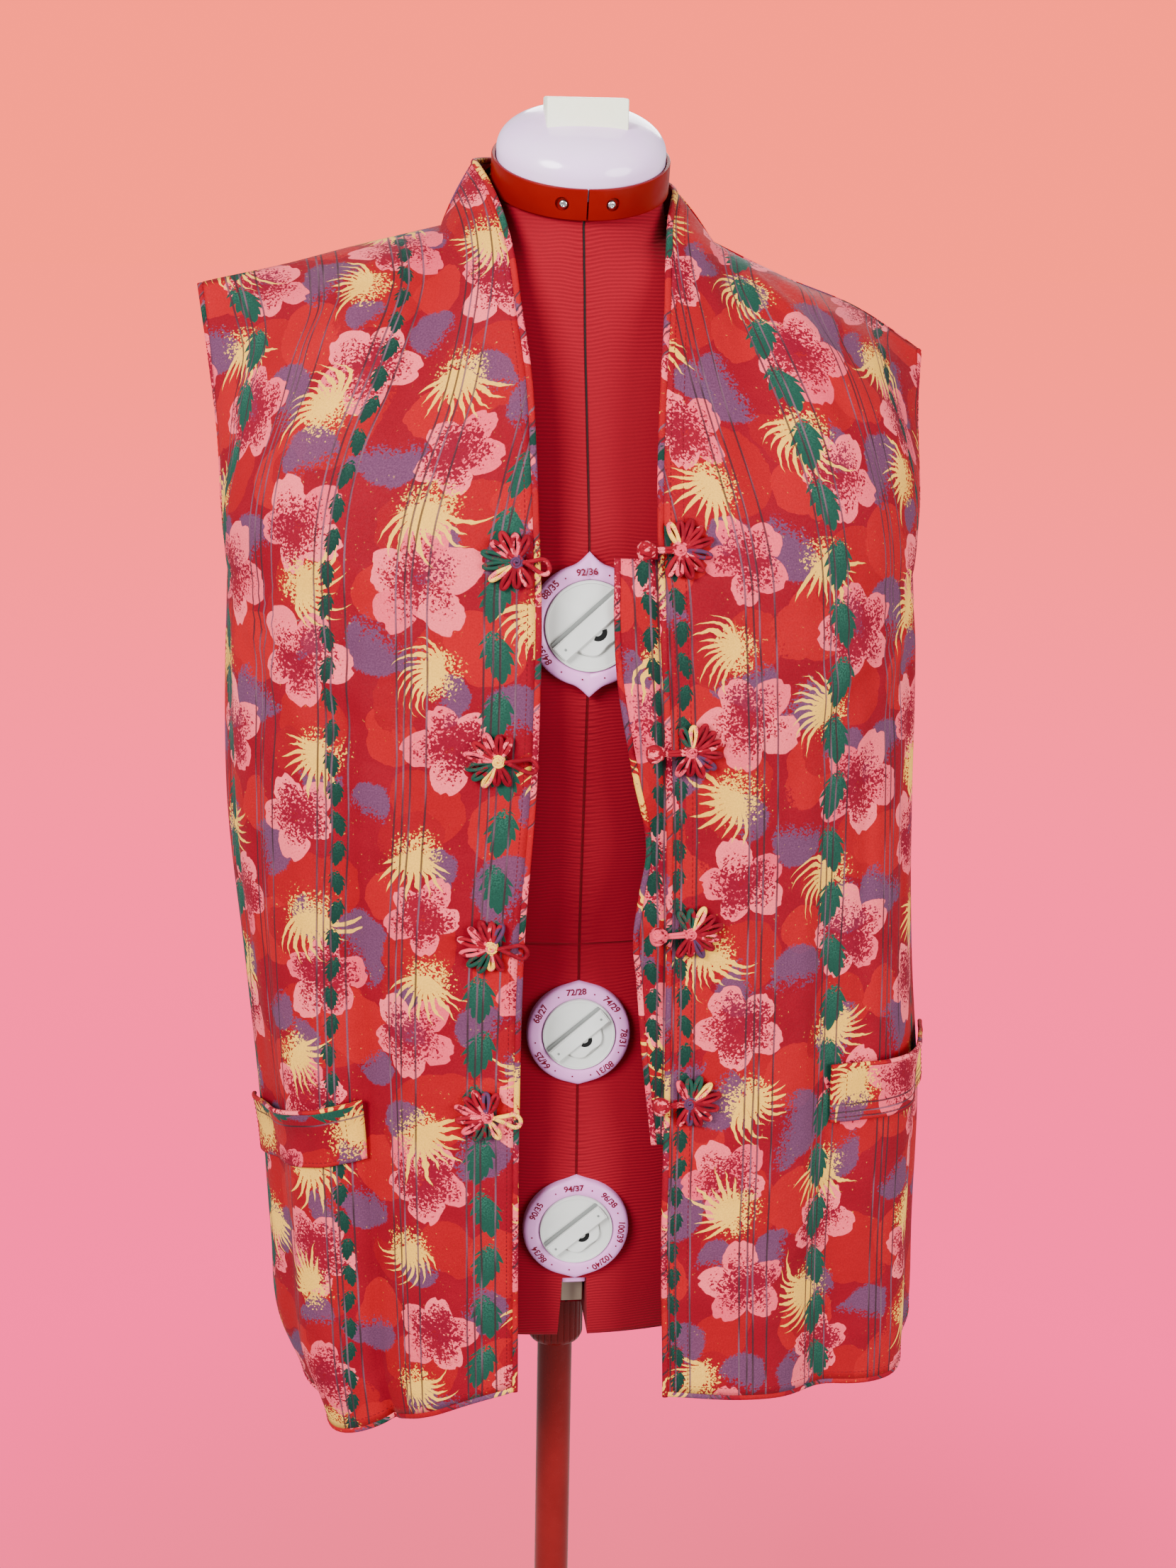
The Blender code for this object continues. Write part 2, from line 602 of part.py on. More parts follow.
def make_front(side):
    shares = np.concatenate([np.linspace(0, COLLAR_SHARE, 4),
                             np.linspace(COLLAR_SHARE, WELT_INNER, 3)[1:],
                             np.linspace(WELT_INNER, 1, WELT_COLUMNS + 1)[1:]])
    low = np.linspace(0, 1, 12)
    high = np.linspace(0, 1, 11)
    grid = front_sheet(side, shares, low, high)
    normals = outward(sheet_normals(grid), side)
    normals = steady_normals(grid, normals, blend((shares[:, None] - 0.72) / 0.16))
    below = slice(0, len(low))
    normals[-1, below, 1] = 0.0
    normals[-1, below] = unit(normals[-1, below])
    normals[:, -1, 1] = 0.0
    normals[:, -1] = unit(normals[:, -1])
    normals[3, -1] = neck_point_normal(side)
    name = "front_" + side
    panel = wall_solid(name, grid, normals, CLOTH)
    seam = SEAM_Y - SEAM_GAP / 2
    line, out, normal = edge_frame(grid, normals, "start")
    corner = line[0] - np.array([0, 0, EDGING_ROOM])
    bound_edge("edging_front_" + side, np.vstack([corner, line]), np.vstack([out[:1], out]),
               np.vstack([normal[:1], normal]), CLOTH, end_plane=seam)
    line, out, normal = edge_frame(grid, normals, "low")
    out[0] = (0, 0, -1)
    bound_edge("edging_hem_" + side, line, out, normal, CLOTH, end_plane=-SEAM_GAP / 2)
    arm = slice(len(low) - 1, None)
    line, out, normal = edge_frame(grid[:, arm], normals[:, arm], "end")
    bound_edge("edging_armhole_front_" + side, line, out, normal, CLOTH,
               start_plane=-SEAM_GAP / 2, end_plane=seam, gap=ARMHOLE_GAP)
    return panel


def make_back():
    shares = np.concatenate([np.linspace(0, BACK_SHOULDER, 7),
                             np.linspace(BACK_SHOULDER, 1 - BACK_SHOULDER, 11)[1:-1],
                             np.linspace(1 - BACK_SHOULDER, 1, 7)])
    low = np.linspace(0, 1, 12)
    high = np.linspace(0, 1, 11)
    grid = back_sheet(shares, low, high)
    normals = sheet_normals(grid)
    if normals[len(shares) // 2, 3, 1] < 0:
        normals = -normals
    nearest = np.minimum(shares, 1 - shares)[:, None]
    normals = steady_normals(grid, normals, 1 - blend((nearest - 0.06) / 0.08))
    below = slice(0, len(low))
    for end in (0, -1):
        normals[end, below, 1] = 0.0
        normals[end, below] = unit(normals[end, below])
    at_neck = (shares > BACK_SHOULDER + 1e-6) & (shares < 1 - BACK_SHOULDER - 1e-6)
    a = (shares[at_neck] - BACK_SHOULDER) / (1 - 2 * BACK_SHOULDER)
    normals[~at_neck, -1, 1] = 0.0
    normals[~at_neck, -1] = unit(normals[~at_neck, -1])
    normals[at_neck, -1] = collar_normals(a)[0]
    normals[6, -1] = neck_point_normal("left")
    normals[-7, -1] = neck_point_normal("right")
    panel = wall_solid("back", grid, normals, CLOTH)
    line, out, normal = edge_frame(grid, normals, "low")
    bound_edge("edging_hem_back", line, out, normal, CLOTH,
               start_plane=SEAM_GAP / 2, end_plane=SEAM_GAP / 2)
    arm = slice(len(low) - 1, None)
    seam = SEAM_Y + SEAM_GAP / 2
    for side, edge in (("left", "start"), ("right", "end")):
        line, out, normal = edge_frame(grid[:, arm], normals[:, arm], edge)
        bound_edge("edging_armhole_back_" + side, line, out, normal, CLOTH,
                   start_plane=SEAM_GAP / 2, end_plane=seam, gap=ARMHOLE_GAP)
    return panel


def make_collar():
    a = np.linspace(0, 1, 11)
    low, top = neck_curve(a), collar_top_curve(a)
    normals, up = collar_normals(a)
    low = low + up * COLLAR_GAP
    grid = np.stack([low, (low + top) / 2 + normals * 0.0012, top], axis=1)
    wall = np.repeat(normals[:, None], 3, axis=1)
    for end, side in ((0, "left"), (-1, "right")):
        wall[end, :, 1] = 0.0
        wall[end] = unit(wall[end])
        wall[end, 0] = neck_point_normal(side)
    wall_solid("collar_back", grid, wall, CLOTH)
    line, out, normal = edge_frame(grid, wall, "high")
    seam = SEAM_Y + SEAM_GAP / 2
    bound_edge("edging_collar", line, out, normal, CLOTH, start_plane=seam, end_plane=seam)


# Pieces laid on the panels

def surface_tree(obj):
    mesh = obj.data
    return BVHTree.FromPolygons([v.co.copy() for v in mesh.vertices],
                                [tuple(p.vertices) for p in mesh.polygons])


def laid_on(tree, point, towards, lift):
    """Where a line from outside meets a panel, moved back off it by the lift."""
    towards = Vector(towards).normalized()
    start = Vector(point) - towards * 0.30
    hit, normal, _, _ = tree.ray_cast(start, towards)
    if hit is None:
        return None
    if normal.dot(towards) > 0:
        normal = -normal
    return hit + normal * lift


def flower_reach(turn, petal):
    """Reach of a flower's rim at an angle from the direction of its loop or ball."""
    off = abs((turn + pi) % (2 * pi) - pi)
    if off < FLOWER_OPEN:
        return FLOWER_MOUTH
    longer = 1 + FLOWER_LONG * max(0.0, -cos(turn))
    return FLOWER_R * longer * (1.0 if petal else 0.86)


def make_flower(name, tree, centre, facing):
    """Flower of looped cord round a coiled middle, open towards the front edge."""
    around = 2 * FLOWER_PETALS
    boss = FLOWER_BOSS / FLOWER_R
    rings = [(boss, 0.0050, 0.0050), (boss * 1.5, 0.0026, 0.0024),
             (0.74, 0.0046, 0.0026), (1.00, 0.0018, 0.0012)]
    into = Vector((0, 1, 0))
    middle = Vector((centre[0], 0, centre[1]))
    verts = [laid_on(tree, middle, into, FLOWER_LIFT + 0.0056)]
    turns = [2 * pi * k / around for k in range(around)]
    rim = [flower_reach(turn, k % 2 == 0) for k, turn in enumerate(turns)]
    rays = [Vector((facing * cos(turn), 0, sin(turn))) for turn in turns]
    for share, high, low in rings:
        for k in range(around):
            reach = min(FLOWER_R * share, rim[k] * max(share, 0.5))
            spot = middle + rays[k] * reach
            rise = high if k % 2 == 0 else low
            verts.append(laid_on(tree, spot, into, FLOWER_LIFT + rise))
    for k in range(around):
        verts.append(laid_on(tree, middle + rays[k] * rim[k], into, FLOWER_LIFT))
    verts.append(laid_on(tree, middle, into, FLOWER_LIFT + 0.0008))
    faces = []
    levels = len(rings) + 1
    for k in range(around):
        nxt = (k + 1) % around
        faces.append((0, 1 + k, 1 + nxt))
        for level in range(levels - 1):
            a, b = 1 + level * around + k, 1 + level * around + nxt
            faces += [(a, a + around, b + around), (a, b + around, b)]
        low = 1 + (levels - 1) * around
        faces.append((low + k, len(verts) - 1, low + nxt))
    return add_object(name, verts, faces, CLOTH, smooth=30)


def cord_ring(name, path, radius, look, sides=5):
    """Closed cord along a closed path of points."""
    count = len(path)
    verts, faces = [], []
    out = Vector((0, -1, 0))
    for i, point in enumerate(path):
        tangent = (path[(i + 1) % count] - path[i - 1]).normalized()
        across = tangent.cross(out).normalized()
        up = across.cross(tangent).normalized()
        for k in range(sides):
            turn = 2 * pi * k / sides
            verts.append(point + across * cos(turn) * radius + up * sin(turn) * radius)
    for i in range(count):
        for k in range(sides):
            a, b = i * sides + k, i * sides + (k + 1) % sides
            c, d = ((i + 1) % count) * sides + k, ((i + 1) % count) * sides + (k + 1) % sides
            faces += [(a, c, d), (a, d, b)]
    return add_object(name, verts, faces, look)


def surface_y(tree, x, z, limit_x, side):
    """Depth of a front's outer face, kept level past its edge."""
    keep = max(abs(x), limit_x) * SIDE[side]
    hit = laid_on(tree, (keep, 0, z), (0, 1, 0), 0.0)
    return hit.y


def make_loop(name, tree, centre, tip, side):
    """Long loop of cord that reaches from a flower to or past the front edge."""
    limit = edge_x(side, centre[1]) + 0.002
    start = abs(centre[0]) - FLOWER_MOUTH - SEAM_GAP - CORD_R
    half, width = (start - tip - CORD_R) / 2, LOOP_WIDTH / 2
    path = []
    for k in range(14):
        turn = 2 * pi * k / 14
        x = start - half + half * cos(turn)
        z = centre[1] - 0.004 * (1 - cos(turn)) / 2 + width * sin(turn)
        y = surface_y(tree, x, z, limit, side) - CORD_LIFT - CORD_R
        path.append(Vector((SIDE[side] * x, y, z)))
    return cord_ring(name, path, CORD_R, CLOTH)


def make_knot(name, tree, centre, ball, side):
    """Ball knot on a short stem, beside a flower."""
    limit = edge_x(side, centre[1]) + 0.002
    start = abs(centre[0]) - FLOWER_BOSS - 0.0007
    low = surface_y(tree, start, centre[1], limit, side) - STEM_HEIGHT
    seat = surface_y(tree, ball, centre[1], limit, side) - BALL_R - 0.0008
    base = Vector((SIDE[side] * start, low, centre[1]))
    middle = Vector((SIDE[side] * ball, seat, centre[1]))
    far = (middle - base).length
    profile = [(0.0, 0.0), (0.0, BALL_STEM_R), (far - BALL_R * 0.94, BALL_STEM_R)]
    for turn in (130, 100, 70, 40, 15):
        profile.append((far + BALL_R * cos(radians(turn)), BALL_R * sin(radians(turn))))
    profile.append((far + BALL_R, 0.0))
    return turned(name, profile, base, middle - base, 10, CLOTH)


def turned(name, profile, base, axis, sides, look, smooth=40):
    """Solid of revolution: (along, radius) pairs from one pole to the other."""
    axis = axis.normalized()
    first = axis.orthogonal().normalized()
    second = axis.cross(first)
    verts, rings = [], []
    for far, radius in profile:
        if radius < 1e-6:
            rings.append([len(verts)])
            verts.append(base + axis * far)
            continue
        ring = []
        for k in range(sides):
            turn = 2 * pi * k / sides
            ring.append(len(verts))
            verts.append(base + axis * far + (first * cos(turn) + second * sin(turn)) * radius)
        rings.append(ring)
    faces = []
    for low, high in zip(rings, rings[1:]):
        for k in range(sides):
            n = (k + 1) % sides
            if len(low) == 1:
                faces.append((low[0], high[n], high[k]))
            elif len(high) == 1:
                faces.append((low[k], low[n], high[0]))
            else:
                faces += [(low[k], low[n], high[n]), (low[k], high[n], high[k])]
    return add_object(name, verts, faces, look, smooth)


def make_frogs(trees):
    for frog in FROGS:
        for side in ("left", "right"):
            x = getattr(frog, side + "_x") * SIDE[side]
            centre = (x, getattr(frog, side + "_z"))
            make_flower(f"frog_flower_{side}_{frog.name}", trees[side], centre, -SIDE[side])
            if side == "left":
                make_loop(f"frog_loop_{frog.name}", trees[side], centre, frog.tip, side)
            else:
                make_knot(f"frog_knot_{frog.name}", trees[side], centre, frog.ball, side)


def make_welts(trees):
    """Welts laid on the fronts, whose top stands a little open at the outer end."""
    for welt in WELTS:
        across = np.linspace(0, 1, WELT_COLUMNS)
        share = np.linspace(WELT_INNER, 1, WELT_COLUMNS + 1)[:-1]
        top = welt.inner_top + (welt.outer_top - welt.inner_top) * across
        rows = np.linspace(0, 1, 5)
        points = np.zeros((len(across), len(rows), 3))
        for i, s in enumerate(share):
            for j, row in enumerate(rows):
                z = top[i] - welt.depth * (1 - row)
                hem = float(along(HEMS, "share", welt.front, s)) + EDGING_ROOM
                spot = front_below(welt.front, s, (z - hem) / (UNDERARM_Z - hem))
                middle = Vector((0.0, 0.02, z))
                towards = middle - Vector(spot)
                gape = welt.mouth * row ** 2.2 * sin(pi * min(1.0, 0.12 + 0.80 * across[i]))
                lift = WALL / 2 + WELT_LIFT + gape
                points[i, j] = laid_on(trees[welt.front], spot, towards, lift)
        normals = outward(sheet_normals(points), welt.front)
        wall_solid("welt_" + welt.front, points, normals, CLOTH)


def make_button_stand(trees):
    """Strip sewn behind the right front, whose outer edge shows past it."""
    zs = np.linspace(BUTTON_STAND[0].z, BUTTON_STAND[-1].z + 0.031, 20)
    across = np.array([0.0, 0.35, 0.7, 1.0])
    grid = np.zeros((len(across), len(zs), 3))
    for j, z in enumerate(zs):
        outer = float(along(BUTTON_STAND, "z", "edge", z)) + EDGING_ROOM
        lag = float(along(BUTTON_STAND, "z", "behind", z))
        for i, s in enumerate(across):
            x = outer + (STAND_INNER_EDGE - outer) * s
            held = max(x, float(edge_x("right", z)) + 0.0012)
            hit = laid_on(trees["right"], (held, 0.0, z), (0, -1, 0), 0.0)
            depth = hit.y + WALL / 2 + 0.0002 + lag * (1 - s) ** 1.5 + 0.0008 * (1 - s)
            grid[i, j] = (x, depth, z)
    normals = outward(sheet_normals(grid), "right")
    wall_solid("button_stand", grid, normals, CLOTH, thick=0.0016)
    line, out, normal = edge_frame(grid, normals, "start")
    bound_edge("edging_button_stand", line, out, normal, CLOTH)


# Dress form

def tilt_height(y, z):
    """Lift or drop of the neck's sections, which lean forward towards the top."""
    return np.tan(NECK_TILT) * y * blend((z - NECK_TILT_FROM) / 0.040)


def form_rings():
    zs = column(BODY, "z")
    return np.unique(np.concatenate([zs, [0.910, 1.040, 1.115]]))


def neck_ring(far, sides):
    """Ring round the neck's leaning axis, at a distance above the band's foot."""
    base, axis = neck_axis()
    forward = Vector((0, -cos(NECK_TILT), -sin(NECK_TILT)))
    ring = []
    for k in range(sides):
        turn = 2 * pi * k / sides
        ray = Vector((1, 0, 0)) * sin(turn) + forward * cos(turn)
        ring.append(tuple(base + axis * far + ray * NECK_R))
    return ring


def make_torso():
    sides = 24
    rings = form_rings()
    verts = []
    for z in rings:
        half, front, back = (float(along(BODY, "z", key, z)) for key in ("half", "front", "back"))
        for k in range(sides):
            turn = 2 * pi * k / sides
            power = 2 / BODY_POWER
            x = half * signed_power(np.sin(turn), power)
            y = -(front if cos(turn) > 0 else back) * signed_power(np.cos(turn), power)
            verts.append((FORM_X + x, y, z + tilt_height(y, z)))
    verts += neck_ring(-0.0050, sides) + neck_ring(NECK_TOP, sides)
    faces = []
    for i in range(len(rings) + 1):
        for k in range(sides):
            a, b = i * sides + k, i * sides + (k + 1) % sides
            faces += [(a, b, b + sides), (a, b + sides, a + sides)]
    faces.append(tuple(range(sides - 1, -1, -1)))
    last = (len(rings) + 1) * sides
    faces.append(tuple(range(last, last + sides)))
    torso = add_object("form_torso", verts, faces, KNIT, smooth=60)
    notch_width, notch_height = NOTCH
    cut_box(torso, "notch_cutter", (FORM_X, -0.105, BODY[0].z),
            (notch_width, 0.10, 2 * notch_height), Matrix.Identity(3))
    return torso


def cut_box(target, name, middle, size, turn):
    """Cut a turned box out of a solid."""
    bpy.ops.mesh.primitive_cube_add(size=1)
    cutter = bpy.context.object
    cutter.name = name
    place = Matrix.Translation(Vector(middle)) @ turn.to_4x4()
    cutter.data.transform(place @ Matrix.Diagonal((*size, 1)))
    cutter.hide_render = True
    cutter.display_type = "WIRE"
    cut = target.modifiers.new(name, "BOOLEAN")
    cut.object = cutter
    cut.operation = "DIFFERENCE"
    cut.solver = "EXACT"


def neck_axis():
    """Middle of the band's foot, and the direction in which the neck's top looks."""
    return Vector((NECK_X, 0.0, BAND_LOW)), Vector((0, -sin(NECK_TILT), cos(NECK_TILT)))


def make_band_and_cap():
    base, axis = neck_axis()
    outer, inner = BAND_R, BAND_R - BAND_WALL
    profile = [(0.0, outer), (BAND_HEIGHT, outer), (BAND_HEIGHT, inner), (0.0, inner)]
    ring_solid("neck_band", profile, base, axis, 24, RED_GLOSS)
    top = NECK_TOP + SEAM_GAP
    shoulder = BAND_HEIGHT + 0.0010
    dome = [(top, 0.0), (top, NECK_R), (shoulder, NECK_R), (shoulder + 0.003, CAP_R)]
    for turn in (20, 45, 68):
        t = radians(turn)
        dome.append((shoulder + 0.003 + CAP_RISE * sin(t), CAP_R * cos(t) ** 0.62))
    cap_top = dome[-1][0] + 0.001
    dome.append((cap_top, 0.0))
    cap = turned("neck_cap", dome, base, axis, 24, LILAC, smooth=70)
    block_low = cap_top - BLOCK_SUNK
    lean = Matrix.Rotation(NECK_TILT, 3, "X")
    middle = base + axis * (block_low + SEAM_GAP + BLOCK[2] / 2) + Vector((0.0015, 0, 0))
    box_solid("cap_block", middle, BLOCK, lean, CREAM)
    room = (BLOCK[0] + 2 * SEAM_GAP, BLOCK[1] + 2 * SEAM_GAP, BLOCK[2] + 2 * SEAM_GAP)
    cut_box(cap, "block_cutter", middle, room, lean)
    return base, axis


def ring_solid(name, profile, base, axis, sides, look):
    """Closed ring: a section of (along, radius) pairs swept once round the axis."""
    axis = axis.normalized()
    first = axis.orthogonal().normalized()
    second = axis.cross(first)
    verts, faces = [], []
    for k in range(sides):
        turn = 2 * pi * k / sides
        ray = first * cos(turn) + second * sin(turn)
        verts += [base + axis * far + ray * radius for far, radius in profile]
    count = len(profile)
    for k in range(sides):
        for i in range(count):
            a, b = k * count + i, k * count + (i + 1) % count
            c, d = ((k + 1) % sides) * count + i, ((k + 1) % sides) * count + (i + 1) % count
            faces += [(a, b, d), (a, d, c)]
    return add_object(name, verts, faces, look)


def box_solid(name, centre, size, turn, look, bevel=0.0015):
    """Box with eased edges, turned by a rotation matrix about its centre."""
    bpy.ops.mesh.primitive_cube_add(size=1)
    blank = bpy.context.object
    mesh = blank.data
    mesh.transform(Matrix.Diagonal((*size, 1)))
    work = bmesh.new()
    work.from_mesh(mesh)
    bmesh.ops.bevel(work, geom=work.edges[:], offset=bevel, segments=1, affect="EDGES")
    bmesh.ops.triangulate(work, faces=work.faces)
    points = [turn @ v.co + Vector(centre) for v in work.verts]
    faces = [tuple(v.index for v in f.verts) for f in work.faces]
    work.free()
    bpy.data.objects.remove(blank, do_unlink=True)
    return add_object(name, points, faces, look)


def seated_on(tree, centre, axis, ray, radius, lift):
    """Point under a dial's rim: the torso's surface below it, plus the lift."""
    spot = centre + ray * radius
    hit, _, _, _ = tree.ray_cast(spot - axis * -0.05, -axis)
    return hit + axis * lift


def make_dials(torso_tree):
    for dial in DIALS:
        start = Vector((FORM_X, -0.2, dial.z))
        hit, normal, _, _ = torso_tree.ray_cast(start, Vector((0, 1, 0)))
        axis = Vector((0, -1, 0.0))
        if normal.y < 0:
            axis = Vector((0, normal.y, normal.z)).normalized()
        first = Vector((1, 0, 0))
        second = axis.cross(first)
        sides = 18
        front = DIAL_STANDS

        def seat(radius, ray):
            return seated_on(torso_tree, hit, axis, ray, radius, DIAL_LIFT)

        verts, faces = [], []
        inner = dial.knob_r + SEAM_GAP
        for k in range(sides):
            turn = 2 * pi * k / sides
            ray = first * cos(turn) + second * sin(turn)
            verts += [seat(inner, ray),
                      hit + ray * inner + axis * (front - 0.001),
                      hit + ray * (inner + 0.002) + axis * front,
                      hit + ray * (dial.ring_r - 0.003) + axis * (front - 0.0005),
                      hit + ray * dial.ring_r + axis * (front - 0.0028),
                      seat(dial.ring_r, ray)]
        count = 6
        for k in range(sides):
            for i in range(count):
                a, b = k * count + i, k * count + (i + 1) % count
                c = ((k + 1) % sides) * count + i
                d = ((k + 1) % sides) * count + (i + 1) % count
                faces += [(a, b, d), (a, d, c)]
        add_object("dial_ring_" + dial.name, verts, faces, LILAC)

        verts, faces = [hit + axis * (front + 0.001)], []
        for k in range(sides):
            turn = 2 * pi * k / sides
            ray = first * cos(turn) + second * sin(turn)
            verts += [hit + ray * (dial.knob_r - 0.0015) + axis * (front + 0.001),
                      hit + ray * dial.knob_r + axis * front,
                      seat(dial.knob_r, ray)]
        verts.append(hit + axis * DIAL_LIFT)
        for k in range(sides):
            n = (k + 1) % sides
            a, b = 1 + 3 * k, 1 + 3 * n
            faces += [(0, a, b), (a, a + 1, b + 1), (a, b + 1, b)]
            faces += [(a + 1, a + 2, b + 2), (a + 1, b + 2, b + 1)]
            faces.append((a + 2, len(verts) - 1, b + 2))
        add_object("dial_knob_" + dial.name, verts, faces, WHITE)

        bar_high = 0.0042
        turn = Matrix((first, second, axis)).transposed()
        turn = turn @ Matrix.Rotation(radians(dial.turn), 3, "Z")
        middle = hit + axis * (front + 0.001 + SEAM_GAP + bar_high / 2)
        size = (2 * dial.knob_r * 0.92, dial.knob_r * 0.36, bar_high)
        box_solid("dial_grip_" + dial.name, middle, size, turn, WHITE, bevel=0.0009)


def make_screws(base, axis):
    """Two round screw heads on the front of the neck band."""
    for name, turn in (("left", -14), ("right", 14)):
        t = radians(turn)
        ray = Vector((sin(t), -cos(t), 0))
        across = Vector((cos(t), sin(t), 0))
        ray = (ray - axis * ray.dot(axis)).normalized()
        across = across.normalized()
        flat = BAND_R
        spot = base + axis * (BAND_HEIGHT * 0.5) + ray * (flat + SEAM_GAP + 0.0001)
        head = [(0.0, 0.0), (0.0, 0.0040), (0.0007, 0.0040), (0.0012, 0.0026), (0.0012, 0.0)]
        turned("band_screw_" + name, head, spot, ray, 10, STEEL)


def make_stand():
    up = Vector((0, 0, 1))
    low = BODY[0].z
    radius, height = ADJUSTER
    top = low - SEAM_GAP
    adjuster_low = top - height
    turned("adjuster", [(0, 0), (0, radius), (height, radius), (height, 0)],
           Vector((POLE_X, 0, adjuster_low)), up, 20, GREY)
    radius, height = POLE_COLLAR
    collar_low = adjuster_low - SEAM_GAP - height
    profile = [(0, 0), (0, radius - 0.003), (0.003, radius), (height - 0.002, radius),
               (height, radius - 0.002), (height, 0)]
    turned("pole_collar", profile, Vector((POLE_X, 0, collar_low)), up, 20, POLE_RED)
    boss_r, boss_high = BOSS
    pole_low = BASE_THICK + boss_high + SEAM_GAP
    pole_high = collar_low - SEAM_GAP
    turned("pole", [(0, 0), (0, POLE_R), (pole_high - pole_low, POLE_R),
                    (pole_high - pole_low, 0)],
           Vector((POLE_X, 0, pole_low)), up, 16, POLE_RED)
    profile = [(0, 0), (0, BASE_R - 0.002), (0.003, BASE_R), (BASE_THICK - 0.003, BASE_R),
               (BASE_THICK, BASE_R - 0.004), (BASE_THICK, boss_r),
               (BASE_THICK + boss_high, boss_r * 0.62), (BASE_THICK + boss_high, 0)]
    turned("base", profile, Vector((POLE_X, 0, 0)), up, 36, POLE_RED)


def main():
    clear_scene()
    fronts = {side: make_front(side) for side in ("left", "right")}
    make_back()
    make_collar()
    trees = {side: surface_tree(panel) for side, panel in fronts.items()}
    make_frogs(trees)
    make_welts(trees)
    make_button_stand(trees)
    torso = make_torso()
    base, axis = make_band_and_cap()
    make_screws(base, axis)
    make_dials(surface_tree(torso))
    make_stand()


main()
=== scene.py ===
from math import cos, pi, radians, sin

import bmesh
import bpy
import numpy as np
from mathutils import Matrix, Vector


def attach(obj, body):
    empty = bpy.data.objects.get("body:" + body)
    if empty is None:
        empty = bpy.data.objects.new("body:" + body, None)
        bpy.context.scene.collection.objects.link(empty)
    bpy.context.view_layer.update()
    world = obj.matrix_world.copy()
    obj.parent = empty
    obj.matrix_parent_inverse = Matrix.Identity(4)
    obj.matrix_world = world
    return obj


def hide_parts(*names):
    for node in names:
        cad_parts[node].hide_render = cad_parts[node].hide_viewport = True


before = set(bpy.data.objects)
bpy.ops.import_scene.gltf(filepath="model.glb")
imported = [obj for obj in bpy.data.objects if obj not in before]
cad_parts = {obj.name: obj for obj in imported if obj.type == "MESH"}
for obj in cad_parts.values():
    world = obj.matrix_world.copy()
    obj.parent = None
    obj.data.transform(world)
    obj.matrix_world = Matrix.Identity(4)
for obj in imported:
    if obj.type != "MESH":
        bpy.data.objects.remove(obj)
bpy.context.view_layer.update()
side = {"left": -1.0, "right": 1.0}
print("frame loaded")


# Small helpers for arrays of numbers

def ease(t):
    t = np.clip(t, 0.0, 1.0)
    return t * t * (3 - 2 * t)


def unit(v):
    return v / np.maximum(np.linalg.norm(v, axis=-1, keepdims=True), 1e-12)


def signedPower(base, power):
    return np.sign(base) * np.abs(base) ** power


# A column of a table read at any place of its first column: cubic pieces through its
# rows, whose slopes are those of the rows beside them
def along(table, name, at):
    xs, vs = np.array(next(iter(table.values()))), np.array(table[name])
    slopes = np.gradient(vs, xs)
    at = np.clip(at, xs[0], xs[-1])
    i = np.clip(np.searchsorted(xs, at) - 1, 0, len(xs) - 2)
    step = xs[i + 1] - xs[i]
    t = (at - xs[i]) / step
    rise = vs[i] * (1 + 2 * t) * (1 - t) ** 2 + vs[i + 1] * t * t * (3 - 2 * t)
    return rise + step * t * (1 - t) * (slopes[i] * (1 - t) - slopes[i + 1] * t)


# Lengths summed up along one axis of a grid of points
def lengthAlong(grid, axis):
    steps = np.linalg.norm(np.diff(grid, axis=axis), axis=-1)
    first = np.zeros_like(np.take(steps, [0], axis=axis))
    return np.concatenate([first, np.cumsum(steps, axis=axis)], axis=axis)


def gridNormals(grid):
    return unit(np.cross(np.gradient(grid, axis=0), np.gradient(grid, axis=1)))


# Mesh building

def makePiece(name, verts, quads, uv, material, replaced, slotName, sharp=None, weld=True):
    verts = np.ascontiguousarray(verts, dtype=np.float32).reshape(-1, 3)
    quads = np.asarray(quads, dtype=np.int32)
    size = quads.shape[1]
    mesh = bpy.data.meshes.new(name)
    mesh.vertices.add(len(verts))
    mesh.vertices.foreach_set("co", verts.ravel())
    mesh.loops.add(quads.size)
    mesh.loops.foreach_set("vertex_index", quads.ravel())
    mesh.polygons.add(len(quads))
    mesh.polygons.foreach_set("loop_start", np.arange(len(quads), dtype=np.int32) * size)
    mesh.polygons.foreach_set("loop_total", np.full(len(quads), size, dtype=np.int32))
    mesh.update(calc_edges=True)
    if uv is not None:
        layer = mesh.uv_layers.new(name="cloth")
        layer.data.foreach_set("uv", np.asarray(uv, np.float32)[quads.ravel()].ravel())
    mesh.validate()
    if weld:
        weldMesh(mesh)
    mesh.shade_smooth()
    if sharp is not None:
        mesh.set_sharp_from_angle(angle=radians(sharp))
    return placed(mesh, material, replaced)


# Object of a mesh's own name, riding on the one body
def placed(mesh, material, replaced=()):
    mesh.materials.append(material)
    piece = linked(mesh.name, mesh)
    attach(piece, "root")
    if replaced:
        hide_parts(*replaced)
    return piece


def linked(name, data):
    made = bpy.data.objects.new(name, data)
    bpy.context.scene.collection.objects.link(made)
    return made


# Close poles and ends, where a ring shrinks to one point, and turn all faces outwards
def weldMesh(mesh):
    work = bmesh.new()
    work.from_mesh(mesh)
    bmesh.ops.remove_doubles(work, verts=work.verts, dist=1e-6)
    bmesh.ops.recalc_face_normals(work, faces=work.faces)
    work.to_mesh(mesh)
    work.free()


